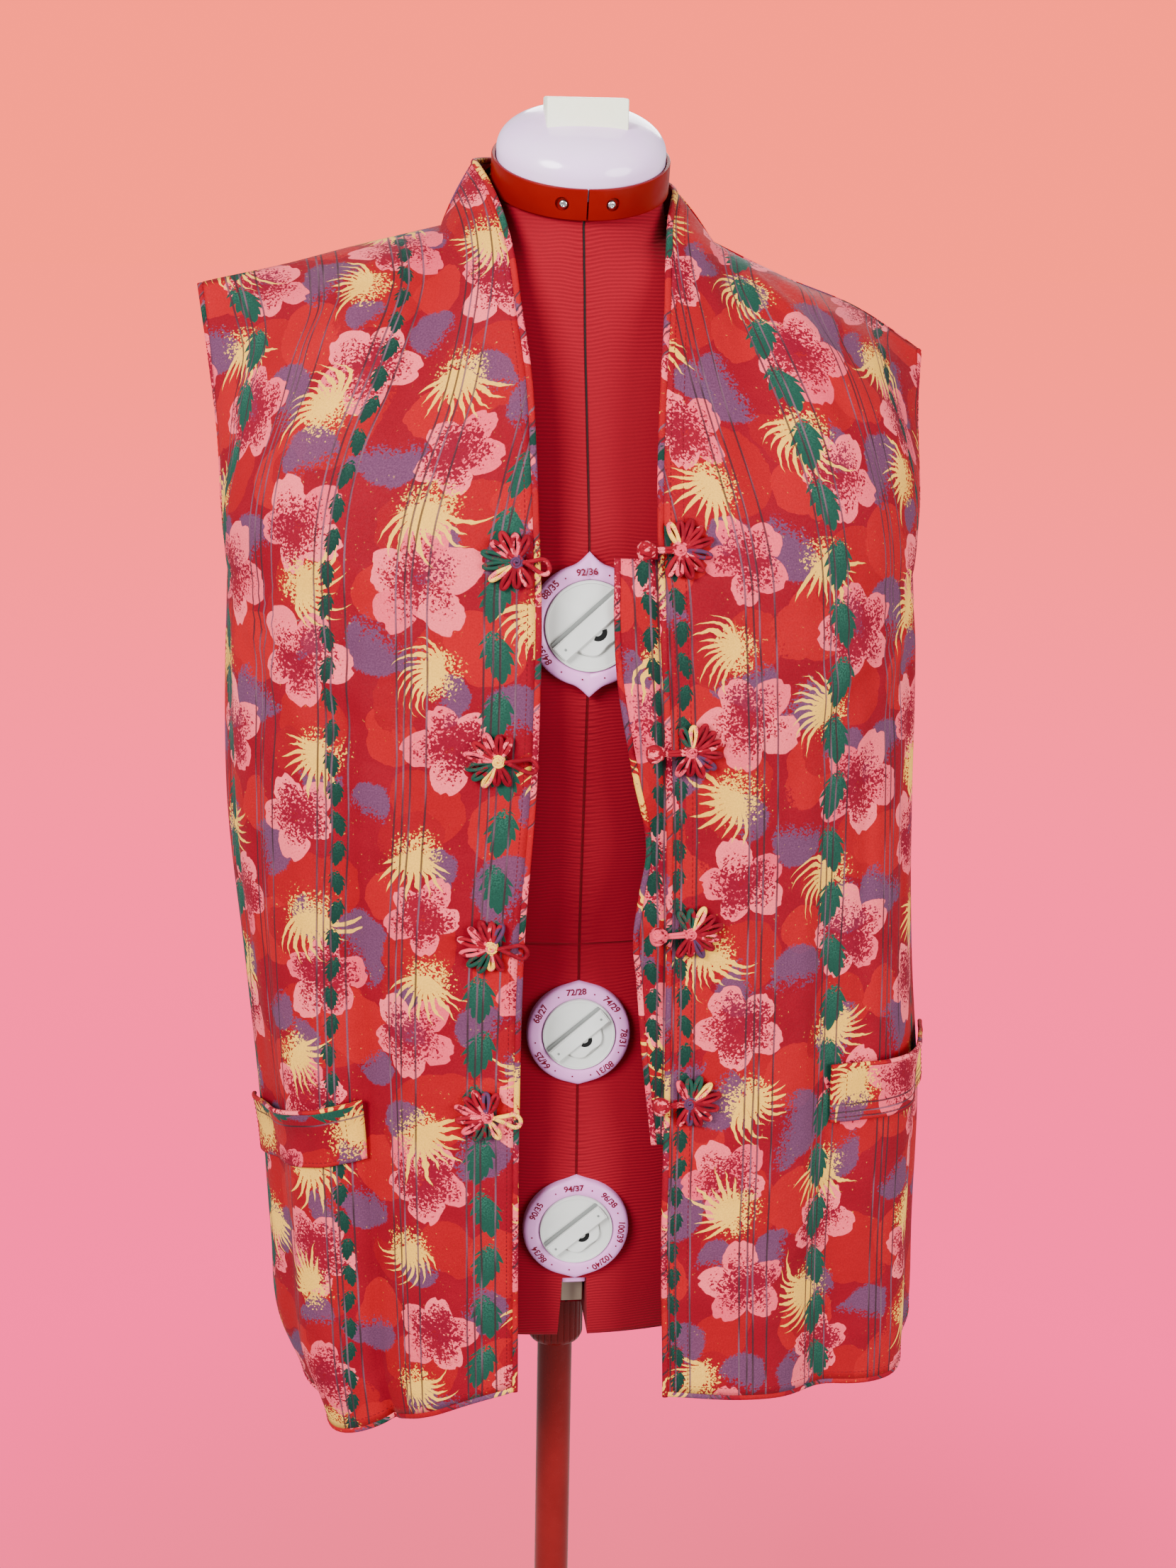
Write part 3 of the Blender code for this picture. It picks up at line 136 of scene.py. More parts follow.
# Faces of a grid with rows of nv points, wrapped round either way if asked
def gridQuads(nu, nv, wrapU=False, wrapV=False, first=0, flip=False):
    i = np.arange(nu if wrapU else nu - 1)[:, None]
    j = np.arange(nv if wrapV else nv - 1)[None, :]
    i2, j2 = (i + 1) % nu, (j + 1) % nv
    a, b, c, d = i * nv + j, i2 * nv + j, i2 * nv + j2, i * nv + j2
    order = (a, d, c, b) if flip else (a, b, c, d)
    return np.stack([np.broadcast_to(k, a.shape) for k in order], axis=-1).reshape(-1, 4) + first


# Closed wall of cloth: the grid moved out and in by half the thickness, and a rim
def wallPiece(name, grid, normals, uv, material, replaced, thick=0.0020):
    nu, nv = grid.shape[:2]
    outer = (grid + normals * thick / 2).reshape(-1, 3)
    inner = (grid - normals * thick / 2).reshape(-1, 3)
    far = nu * nv
    rim = np.concatenate([np.arange(nu) * nv, (nu - 1) * nv + np.arange(1, nv),
                          np.arange(nu - 2, -1, -1) * nv + nv - 1, np.arange(nv - 2, 0, -1)])
    after = np.roll(rim, -1)
    band = np.stack([rim, rim + far, after + far, after], axis=-1)
    quads = np.concatenate([gridQuads(nu, nv), gridQuads(nu, nv, first=far, flip=True), band])
    flat = uv.reshape(-1, 2)
    face = np.cross(grid[1, 0] - grid[0, 0], grid[0, 1] - grid[0, 0])
    if face @ normals[0, 0] < 0:
        quads = quads[:, ::-1]
    return makePiece(name, np.concatenate([outer, inner]), quads, np.concatenate([flat, flat]),
                     material, replaced, "cloth", weld=False)


# Garment

ringTable = {
    "z": [0.560, 0.600, 0.640, 0.700, 0.800, 0.905, 1.020, 1.100, 1.168],
    "left": [0.1760, 0.1860, 0.2010, 0.2050, 0.2100, 0.2180, 0.2270, 0.2260, 0.2225],
    "right": [0.248, 0.250, 0.251, 0.249, 0.247, 0.237, 0.229, 0.225, 0.219],
    "front": [0.134, 0.136, 0.137, 0.139, 0.140, 0.139, 0.143, 0.147, 0.146],
    "back": [0.126, 0.126, 0.125, 0.124, 0.121, 0.118, 0.118, 0.121, 0.124],
}
edgeTable = {
    "z": [0.560, 0.640, 0.742, 0.852, 0.956, 1.058, 1.106, 1.154, 1.199, 1.250, 1.297,
          1.335, 1.366, 1.391, 1.406, 1.420],
    "left": [0.041, 0.041, 0.042, 0.042, 0.040, 0.034, 0.033, 0.0325, 0.0338, 0.0352,
             0.0372, 0.0420, 0.0455, 0.0515, 0.0575, 0.0655],
    "right": [0.057, 0.055, 0.051, 0.050, 0.048, 0.0445, 0.0415, 0.038, 0.0358, 0.0358,
              0.0386, 0.0422, 0.0450, 0.0500, 0.0570, 0.0650],
}
armTable = {
    "z": [1.168, 1.208, 1.248, 1.277, 1.315, 1.342],
    "left": [0.2225, 0.2235, 0.2255, 0.2290, 0.2345, 0.2390],
    "right": [0.219, 0.217, 0.217, 0.220, 0.226, 0.228],
}
shoulderTable = {
    "share": [0.00, 0.33, 0.67, 1.00],
    "leftX": [0.086, 0.136, 0.187, 0.239],
    "leftZ": [1.379, 1.3665, 1.353, 1.342],
    "rightX": [0.086, 0.133, 0.181, 0.227],
    "rightZ": [1.372, 1.351, 1.333, 1.307],
}
hemTable = {
    "share": [0.00, 0.11, 0.19, 0.35, 0.54, 0.75, 1.00],
    "left": [0.641, 0.631, 0.621, 0.603, 0.590, 0.588, 0.600],
    "right": [0.633, 0.627, 0.625, 0.619, 0.614, 0.617, 0.632],
}
garment = {
    "wall": 0.0020, "gap": 0.0003, "binding": 0.0034, "underarm": 1.168, "seamY": 0.012,
    "roundness": 2.5, "armholeReach": 0.047, "neckDepth": 0.088, "collarDepth": 0.066,
    "collarRise": 0.008, "neckDip": 0.012, "collarShare": 0.18, "backShoulder": 0.29,
    "backHemDrop": 0.012, "collarTop": {"left": (0.0650, 1.420), "right": (0.0605, 1.405)},
    "frontSpan": 0.30, "backSpan": 0.56, "armholePower": 0.92,
}
edgeRoom = garment["binding"] + garment["gap"]


# Soft folds: place across the panel, width and depth in metres, and the heights between
# which each fades out at its foot and at its head; slant moves it with height
foldTable = [
    ("left", 0.34, 0.052, 0.0095, 0.50, 0.52, 0.80, 1.27, 0.00),
    ("left", 0.352, 0.013, 0.0034, 0.50, 0.52, 1.10, 1.24, 0.00),
    ("left", 0.56, 0.060, -0.0050, 0.50, 0.52, 0.62, 1.10, 0.00),
    ("left", 0.76, 0.055, 0.0080, 0.50, 0.52, 0.62, 1.02, 0.00),
    ("left", 0.12, 0.060, -0.0035, 0.50, 0.52, 0.62, 0.95, 0.00),
    ("left", 0.66, 0.022, 0.0022, 0.80, 0.92, 1.10, 1.30, -0.25),
    ("left", 0.84, 0.026, 0.0030, 0.78, 0.88, 1.02, 1.16, 0.10),
    ("left", 0.48, 0.020, -0.0016, 0.66, 0.80, 0.95, 1.20, 0.06),
    ("left", 0.21, 0.018, -0.0012, 0.72, 0.86, 1.06, 1.26, -0.06),
    ("right", 0.36, 0.055, 0.0090, 0.50, 0.52, 0.72, 1.20, 0.00),
    ("right", 0.20, 0.055, -0.0035, 0.50, 0.52, 0.70, 1.15, 0.00),
    ("right", 0.60, 0.055, -0.0050, 0.50, 0.52, 0.62, 1.12, 0.00),
    ("right", 0.80, 0.055, 0.0060, 0.50, 0.52, 0.70, 1.10, 0.00),
    ("right", 0.47, 0.018, 0.0018, 0.74, 0.86, 1.02, 1.18, 0.12),
    ("right", 0.70, 0.022, 0.0024, 0.82, 0.94, 1.10, 1.28, 0.30),
    ("right", 0.88, 0.024, 0.0026, 0.80, 0.90, 1.02, 1.18, -0.10),
    ("right", 0.28, 0.016, -0.0012, 0.66, 0.78, 1.00, 1.22, 0.05),
    ("back", 0.20, 0.045, 0.0085, 0.50, 0.52, 0.60, 1.18, 0.00),
    ("back", 0.36, 0.045, -0.0050, 0.50, 0.52, 0.60, 1.05, 0.00),
    ("back", 0.52, 0.045, 0.0070, 0.50, 0.52, 0.60, 1.14, 0.00),
    ("back", 0.66, 0.045, -0.0055, 0.50, 0.52, 0.60, 1.08, 0.00),
    ("back", 0.81, 0.045, 0.0085, 0.50, 0.52, 0.60, 1.18, 0.00),
    ("back", 0.44, 0.018, 0.0018, 0.76, 0.90, 1.04, 1.22, 0.08),
    ("back", 0.28, 0.018, -0.0016, 0.70, 0.84, 1.02, 1.20, -0.06),
    ("back", 0.73, 0.018, -0.0016, 0.72, 0.86, 1.04, 1.22, 0.06),
]


# Inward depth of a panel's folds: a bell across each fold, faded at both its ends
def foldDepth(panel, share, z, span):
    depth = np.zeros(np.broadcast(share, z).shape)
    for name, at, width, deep, footLow, footHigh, headLow, headHigh, slant in foldTable:
        if name == panel:
            fade = ease((z - footLow) / (footHigh - footLow))
            fade = fade * (1 - ease((z - headLow) / (headHigh - headLow)))
            middle = at + slant * (z - (footHigh + headLow) / 2)
            depth += deep * fade * np.exp(-((share - middle) * span / (width * 0.5)) ** 2)
    return depth


# Finished front edge at a height, less the room that its binding takes
def edgeX(name, z):
    return along(edgeTable, name, z) + edgeRoom


# Body's ring at a height is the superellipse |x/half|^n + |y/deep|^n = 1. A front takes
# the turn from its edge to the side seam, in equal steps of the ring's own angle
def frontBelow(name, share, rise):
    hem = along(hemTable, name, share) + edgeRoom
    z = hem + (garment["underarm"] - hem) * rise
    half = along(ringTable, name, z)
    deep = along(ringTable, "front", z)
    n = garment["roundness"]
    start = np.arcsin((edgeX(name, z) / half) ** (n / 2))
    turn = start + (pi / 2 - start) * share
    x = side[name] * half * np.sin(turn) ** (2 / n)
    y = -deep * np.abs(np.cos(turn)) ** (2 / n)
    return np.stack([x, y - garment["gap"] / 2, z], axis=-1)


# Top of a front: the collar's end, then the shoulder seam out to its tip
def seamTop(name, share):
    topX, topZ = garment["collarTop"][name]
    topX, topZ = topX + edgeRoom * 0.5, topZ - edgeRoom * 0.9
    neckX, neckZ = shoulderTable[name + "X"][0], shoulderTable[name + "Z"][0]
    part = garment["collarShare"]
    t = np.clip(share / part, 0, 1)
    s = np.clip((share - part) / (1 - part), 0, 1)
    x = np.where(share < part, topX + (neckX - topX) * t,
                 along(shoulderTable, name + "X", s) - edgeRoom * s ** 6)
    z = np.where(share < part, topZ + (neckZ - topZ) * t,
                 along(shoulderTable, name + "Z", s))
    return x, z


# How far a panel's columns move in y and z near an armhole, to end on its edge: from the
# plain quarter curve onto an arch from underarm to shoulder tip. Way -1 in front, 1 behind
def armholeShift(name, t, way, near):
    low, half = garment["underarm"], way * garment["gap"] / 2
    seam, tipZ = garment["seamY"] + half, seamTop(name, np.array(1.0))[1]
    armY = garment["seamY"] * t + way * garment["armholeReach"] * np.sin(pi * t ** 0.82)
    armZ = low + (tipZ - low) * t ** 1.15
    turn, power = t * pi / 2, garment["armholePower"]
    flatY = seam + (half - seam) * np.cos(turn) ** power
    flatZ = low + (tipZ - low) * np.sin(turn) ** power
    return near * (armY - flatY + half * t), near * (armZ - flatZ)


# Above the underarm each column bends over to the shoulder seam along a quarter of a
# superellipse, and its place across goes over from the ring's to the seam's
def frontAbove(name, share, t):
    ring = frontBelow(name, share, 1.0)
    xb, yb = np.abs(ring[..., 0]), ring[..., 1]
    xs, zs = seamTop(name, share)
    ys = garment["seamY"] - garment["gap"] / 2
    low = garment["underarm"]
    power = 1.28 - 0.36 * ease(share / 0.45)
    turn = t * pi / 2
    y = ys + (yb - ys) * np.cos(turn) ** power
    z = low + (zs - low) * np.sin(turn) ** power
    shiftY, shiftZ = armholeShift(name, t, -1.0, share ** 3)
    y, z = y + shiftY, z + shiftZ

    def span(at):
        return edgeX(name, at), along(armTable, name, at) - edgeX(name, at)

    (innerLow, wideLow), (innerHigh, wideHigh), (inner, wide) = span(low), span(zs), span(z)
    partLow, partHigh = (xb - innerLow) / wideLow, (xs - innerHigh) / wideHigh
    x = inner + wide * (partLow + (partHigh - partLow) * ease(t))
    return np.stack([side[name] * x, y, z], axis=-1)


# Normals of a panel, away from the body
def panelNormals(name, grid):
    normals = gridNormals(grid)
    middle = normals[len(normals) // 2, normals.shape[1] // 3]
    want = {"left": (-0.4, -1.0, 0.0), "right": (0.4, -1.0, 0.0), "back": (0.0, 1.0, 0.0)}[name]
    return normals if middle @ np.array(want) > 0 else -normals


# Level some of a panel's normals, so that panels which meet there share a plane
def levelNormals(normals, *where):
    normals[where + (1,)] = 0.0
    normals[where] = unit(normals[where])


# Fine creases that fan out from a place on a shoulder: waves across the fan's angle,
# strongest half way along and gone at its ends
def fanWaves(grid, apex, reach, waves, phase, depth, spread):
    x, z = grid[..., 0] - apex[0], grid[..., 2] - apex[1]
    far = np.hypot(x, z)
    angle = np.arctan2(x, -z)
    window = ease(far / (0.25 * reach)) * (1 - ease((far - 0.45 * reach) / (0.55 * reach)))
    window = window * np.exp(-((angle - spread[0]) / spread[1]) ** 2)
    return depth * window * np.sin(waves * angle + phase)


def frontSheet(name, shares, lowRows, highRows):
    share = shares[:, None]
    grid = np.concatenate([frontBelow(name, share, lowRows[None, :]),
                           frontAbove(name, share, highRows[None, 1:])], axis=1)
    normals = panelNormals(name, grid)
    z = grid[..., 2]
    depth = foldDepth(name, share, z, garment["frontSpan"])
    dart = np.exp(-((share - 0.22) * garment["frontSpan"] / 0.030) ** 2)
    depth = depth + 0.0050 * dart * ease((z - 1.20) / 0.12) * (1 - ease((z - 1.345) / 0.03))
    s = side[name]
    depth = depth + fanWaves(grid, (s * 0.092, 1.375), 0.30, 24, 0.6, 0.0011, (s * 0.75, 0.55))
    depth = depth + fanWaves(grid, (s * 0.225, 1.170), 0.20, 17, 1.4, 0.0012, (-s * 0.70, 0.60))
    fixed = (1 - ease((share - 0.93) / 0.07)) * ease(share / 0.02 + 0.15)
    fixed = fixed * (1 - ease((z - 1.36) / 0.03) * (share < garment["collarShare"]))
    return grid - normals * (depth * fixed)[..., None]


# Near an armhole the normals are eased towards those of the body's rings
def steadyNormals(grid, normals, near):
    x, y, z = np.abs(grid[..., 0]), grid[..., 1], grid[..., 2]
    half = np.where(grid[..., 0] < 0, along(ringTable, "left", z),
                    along(ringTable, "right", z))
    half = np.maximum(half, x)
    deep = np.where(y < 0, along(ringTable, "front", z), along(ringTable, "back", z))
    power = garment["roundness"] - 1
    ring = np.stack([np.sign(grid[..., 0]) * (x / half) ** power / half,
                     np.sign(y) * (np.abs(y) / deep) ** power / deep, np.zeros_like(z)], axis=-1)
    amount = near * (1 - ease((z - 1.24) / 0.07)) * ease((z - 1.10) / 0.06)
    return unit(normals + (unit(ring) - normals) * amount[..., None])


# Back neckline, from the left neck point (a 0) to the right one (a 1)
def neckCurve(a):
    left, right = shoulderTable["leftX"][0], shoulderTable["rightX"][0]
    half = left + (right - left) * a
    y = garment["seamY"] + garment["gap"] / 2 + garment["neckDepth"] * np.sin(pi * a)
    leftZ, rightZ = shoulderTable["leftZ"][0], shoulderTable["rightZ"][0]
    z = leftZ + (rightZ - leftZ) * a - garment["neckDip"] * np.sin(pi * a)
    return np.stack([-half * np.cos(pi * a), y, z], axis=-1)


def collarTopCurve(a):
    (leftX, leftZ), (rightX, rightZ) = (garment["collarTop"][k] for k in ("left", "right"))
    half = leftX + (rightX - leftX) * a + edgeRoom * 0.5
    y = garment["seamY"] + garment["gap"] / 2 + garment["collarDepth"] * np.sin(pi * a)
    z = leftZ + (rightZ - leftZ) * a + garment["collarRise"] * np.sin(pi * a)
    return np.stack([-half * np.cos(pi * a), y, z - edgeRoom * 0.9], axis=-1)


def collarNormals(a):
    up = unit(collarTopCurve(a) - neckCurve(a))
    ahead, behind = np.clip(a + 1e-3, 0, 1), np.clip(a - 1e-3, 0, 1)
    turn = unit(neckCurve(ahead) - neckCurve(behind))
    return unit(np.cross(up, turn)), up


def backBelow(share, rise):
    left, right = hemTable["left"][-1], hemTable["right"][-1]
    hem = left + (right - left) * share + garment["backHemDrop"] * np.sin(pi * share)
    hem = hem + edgeRoom
    z = hem + (garment["underarm"] - hem) * rise
    turn = pi * share
    half = np.where(share < 0.5, along(ringTable, "left", z),
                    along(ringTable, "right", z))
    power = 2 / garment["roundness"]
    x = -half * signedPower(np.cos(turn), power)
    y = along(ringTable, "back", z) * np.abs(np.sin(turn)) ** power
    return np.stack([x, y + garment["gap"] / 2, z], axis=-1)


def backTop(share):
    part, collar = garment["backShoulder"], garment["collarShare"]
    left = np.clip(1 - share / part, 0, 1)
    right = np.clip((share - 1 + part) / part, 0, 1)
    neck = neckCurve(np.clip((share - part) / (1 - 2 * part), 0, 1))
    leftX, leftZ = seamTop("left", collar + (1 - collar) * left)
    rightX, rightZ = seamTop("right", collar + (1 - collar) * right)
    seam = garment["seamY"] + garment["gap"] / 2
    x = np.where(left > 0, -leftX, np.where(right > 0, rightX, neck[..., 0]))
    y = np.where((left > 0) | (right > 0), seam, neck[..., 1])
    z = np.where(left > 0, leftZ, np.where(right > 0, rightZ, neck[..., 2]))
    return x, y, z


def backAbove(share, t):
    low = garment["underarm"]
    ring = backBelow(share, 1.0)
    xb, yb = ring[..., 0], ring[..., 1]
    xs, ys, zs = backTop(share)
    middle = np.sin(pi * share) ** 2
    power = 0.92 + 0.55 * ease((middle - 0.55) / 0.45)
    turn = t * pi / 2
    y = ys + (yb - ys) * np.cos(turn) ** power
    z = low + (zs - low) * np.sin(turn) ** power
    for name, near in (("left", (1 - share) ** 7), ("right", share ** 7)):
        shiftY, shiftZ = armholeShift(name, t, 1.0, near)
        y, z = y + shiftY, z + shiftZ

    def span(at):
        left, right = along(armTable, "left", at), along(armTable, "right", at)
        return -left, left + right

    (innerLow, wideLow), (innerHigh, wideHigh), (inner, wide) = span(low), span(zs), span(z)
    partLow, partHigh = (xb - innerLow) / wideLow, (xs - innerHigh) / wideHigh
    return np.stack([inner + wide * (partLow + (partHigh - partLow) * ease(t)), y, z], axis=-1)


def backSheet(shares, lowRows, highRows):
    share = shares[:, None]
    grid = np.concatenate([backBelow(share, lowRows[None, :]),
                           backAbove(share, highRows[None, 1:])], axis=1)
    fixed = ease(share / 0.06) * ease((1 - share) / 0.06)
    depth = foldDepth("back", share, grid[..., 2], garment["backSpan"]) * fixed
    return grid - panelNormals("back", grid) * depth[..., None]


# Normal shared by a front, the back and the collar where they meet
def neckPointNormal(name):
    collar = collarNormals(np.array([0.0 if name == "left" else 1.0]))[0][0]
    seam = np.array([side[name] * 0.24, 0.0, 0.97])
    return unit(unit(collar * np.array([1, 0, 1])) + seam)


# Tubes of cloth: a section swept along a path. The section's first direction lies
# across the path and along the surface, the second stands off the surface
def tubeArrays(path, refs, wide, high, sides=8, closed=False, power=1.0):
    path = np.asarray(path, float)
    if closed:
        tangent = unit(np.roll(path, -1, axis=0) - np.roll(path, 1, axis=0))
    else:
        tangent = unit(np.gradient(path, axis=0))
    across = unit(np.cross(tangent, np.broadcast_to(refs, path.shape)))
    up = unit(np.cross(across, tangent))
    turn = np.arange(sides) * 2 * pi / sides
    wide, high = (np.broadcast_to(k, (len(path),))[:, None, None] for k in (wide, high))
    a = signedPower(np.cos(turn), power)[None, :, None]
    b = signedPower(np.sin(turn), power)[None, :, None]
    verts = path[:, None] + across[:, None] * a * wide + up[:, None] * b * high
    far = lengthAlong(path[:, None], 0)[:, 0]
    if not closed:
        verts = np.concatenate([np.repeat(path[:1, None], sides, axis=1), verts,
                                np.repeat(path[-1:, None], sides, axis=1)])
        far = np.concatenate([far[:1], far, far[-1:]])
    girth = turn * float(np.mean(wide))
    uv = np.stack(np.broadcast_arrays(girth[None, :], far[:, None]), axis=-1)
    quads = gridQuads(len(verts), sides, wrapU=closed, wrapV=True)
    return [verts.reshape(-1, 3), quads, uv.reshape(-1, 2)]


def joined(parts):
    verts, quads, uv, first = [], [], [], 0
    for v, q, t in parts:
        verts.append(v)
        quads.append(q + first)
        uv.append(t)
        first += len(v)
    return np.concatenate(verts), np.concatenate(quads), np.concatenate(uv)


# Edge of a panel's grid: its line, the way out in the surface, and the normals
def edgeFrame(grid, normals, edge):
    line, inner, normal = {
        "start": (grid[0], grid[2], normals[0]), "end": (grid[-1], grid[-3], normals[-1]),
        "low": (grid[:, 0], grid[:, 2], normals[:, 0]),
        "high": (grid[:, -1], grid[:, -3], normals[:, -1]),
    }[edge]
    out = unit(np.cross(unit(np.gradient(line, axis=0)), normal))
    middle = len(line) // 2
    return line, out * np.sign(out[middle] @ (line[middle] - inner[middle])), normal


# Put more points along a line, evenly by length, so that a fine section follows it
def finer(line, spacing=0.0016):
    far = lengthAlong(line[:, None], 0)[:, 0]
    at = np.linspace(0, far[-1], max(8, int(far[-1] / spacing)))
    return at, far


def resampled(values, far, at):
    return np.stack([np.interp(at, far, values[:, k]) for k in range(values.shape[1])], axis=-1)


# Bias binding: a flattened tube that wraps an edge, its middle just beyond the edge.
# Small puckers from the stitches modulate its height
bindings = {"half": 0.00205, "thick": 0.00165, "sides": 12, "pucker": 0.00010, "pitch": 0.0026}


def bindPanelEdge(name, grid, normals, edge, replaced, cloth, shift, low=None):
    line, out, normal = edgeFrame(grid, normals, edge)
    if low is not None:
        line = np.vstack([line[0] - np.array([0, 0, low]), line])
        out, normal = np.vstack([out[:1], out]), np.vstack([normal[:1], normal])
    at, far = finer(line)
    line, out, normal = (resampled(k, far, at) for k in (line, out, normal))
    middle = line + unit(out) * (garment["gap"] + garment["binding"] / 2 - 0.0002)
    far = lengthAlong(middle[:, None], 0)[:, 0]
    high = bindings["thick"] + bindings["pucker"] * np.sin(far * 2 * pi / bindings["pitch"])
    verts, quads, uv = tubeArrays(middle, unit(normal), bindings["half"], high,
                                  bindings["sides"], power=0.8)
    turned = np.stack([(uv[:, 0] + uv[:, 1]) * 0.7071, (uv[:, 1] - uv[:, 0]) * 0.7071], axis=-1)
    makePiece(name, verts, quads, turned + np.array([shift, shift * 1.7]), cloth, [replaced],
              "cloth")


frontShares = np.concatenate([np.linspace(0, 0.18, 17), np.linspace(0.18, 1, 72)[1:]])
frontLow, frontHigh = np.linspace(0, 1, 104), np.linspace(0, 1, 56)
grainLean = {"from": 1.16, "over": 0.25, "by": 0.058}
clothPlace = {"left": (1.0, 0.0, 0.0), "right": (-1.0, 0.341, 0.13)}
surfaces = {}


# Place in the flat cloth: along each row from the front edge, whose upper part was cut
# back from the grain, and up each column from the hem
def frontCloth(name, grid):
    z = grid[..., 2]
    across = lengthAlong(grid, 0)
    cutBack = grainLean["by"] * ease((z[:1] - grainLean["from"]) / grainLean["over"])
    up = lengthAlong(grid, 1) + z[:, :1]
    sign, fromU, fromV = clothPlace[name]
    return np.stack([fromU + sign * (across + cutBack), up + fromV], axis=-1)


def makeFront(name, cloth):
    grid = frontSheet(name, frontShares, frontLow, frontHigh)
    near = ease((frontShares[:, None] - 0.72) / 0.16)
    normals = steadyNormals(grid, panelNormals(name, grid), near)
    levelNormals(normals, -1, slice(0, len(frontLow)))
    levelNormals(normals, slice(16, None), -1)
    normals[16, -1] = neckPointNormal(name)
    uv = frontCloth(name, grid)
    title = name.capitalize()
    wallPiece("front" + title, grid, normals, uv, cloth, ["front_" + name], garment["wall"])
    surfaces[name] = (grid, normals)
    bindPanelEdge("bindingFront" + title, grid, normals, "start", "edging_front_" + name,
                  cloth, 0.31, low=edgeRoom)
    bindPanelEdge("bindingHem" + title, grid, normals, "low", "edging_hem_" + name, cloth, 0.47)
    arm = slice(len(frontLow) - 1, None)
    bindPanelEdge("bindingArmFront" + title, grid[:, arm], normals[:, arm], "end",
                  "edging_armhole_front_" + name, cloth, 0.83)


backShares = np.concatenate([np.linspace(0, 0.29, 36), np.linspace(0.29, 0.71, 50)[1:-1],
                             np.linspace(0.71, 1, 36)])


def makeBack(cloth):
    grid = backSheet(backShares, frontLow, frontHigh)
    nearest = np.minimum(backShares, 1 - backShares)[:, None]
    near = 1 - ease((nearest - 0.06) / 0.08)
    normals = steadyNormals(grid, panelNormals("back", grid), near)
    for end in (0, -1):
        levelNormals(normals, end, slice(0, len(frontLow)))
    part = garment["backShoulder"]
    atNeck = (backShares > part + 1e-6) & (backShares < 1 - part - 1e-6)
    levelNormals(normals, ~atNeck, -1)
    normals[atNeck, -1] = collarNormals((backShares[atNeck] - part) / (1 - 2 * part))[0]
    normals[35, -1] = neckPointNormal("left")
    normals[-36, -1] = neckPointNormal("right")
    across = lengthAlong(grid, 0)
    middle = across[len(backShares) // 2][None]
    up = lengthAlong(grid, 1) + grid[:, :1, 2]
    uv = np.stack([0.62 + across - middle, up + 0.21], axis=-1)
    wallPiece("backPanel", grid, normals, uv, cloth, ["back"], garment["wall"])
    bindPanelEdge("bindingHemBack", grid, normals, "low", "edging_hem_back", cloth, 0.59)
    arm = slice(len(frontLow) - 1, None)
    for name, edge in (("left", "start"), ("right", "end")):
        bindPanelEdge("bindingArmBack" + name.capitalize(), grid[:, arm], normals[:, arm], edge,
                      "edging_armhole_back_" + name, cloth, 0.71)


def makeCollar(cloth):
    a = np.linspace(0, 1, 80)
    low, top = neckCurve(a), collarTopCurve(a)
    normals, up = collarNormals(a)
    low = low + up * 0.0006
    rise = np.linspace(0, 1, 14)[None, :, None]
    grid = low[:, None] + (top - low)[:, None] * rise
    grid = grid + normals[:, None] * 0.0048 * rise * (1 - rise)
    wall = np.repeat(normals[:, None], 14, axis=1)
    for end, name in ((0, "left"), (-1, "right")):
        levelNormals(wall, end, slice(None))
        wall[end, 0] = neckPointNormal(name)
    uv = np.stack([1.13 + lengthAlong(grid, 0), 0.4 + lengthAlong(grid, 1)], axis=-1)
    wallPiece("collarBack", grid, wall, uv, cloth, ["collar_back"], garment["wall"])
    bindPanelEdge("bindingCollar", grid, wall, "high", "edging_collar", cloth, 0.37)


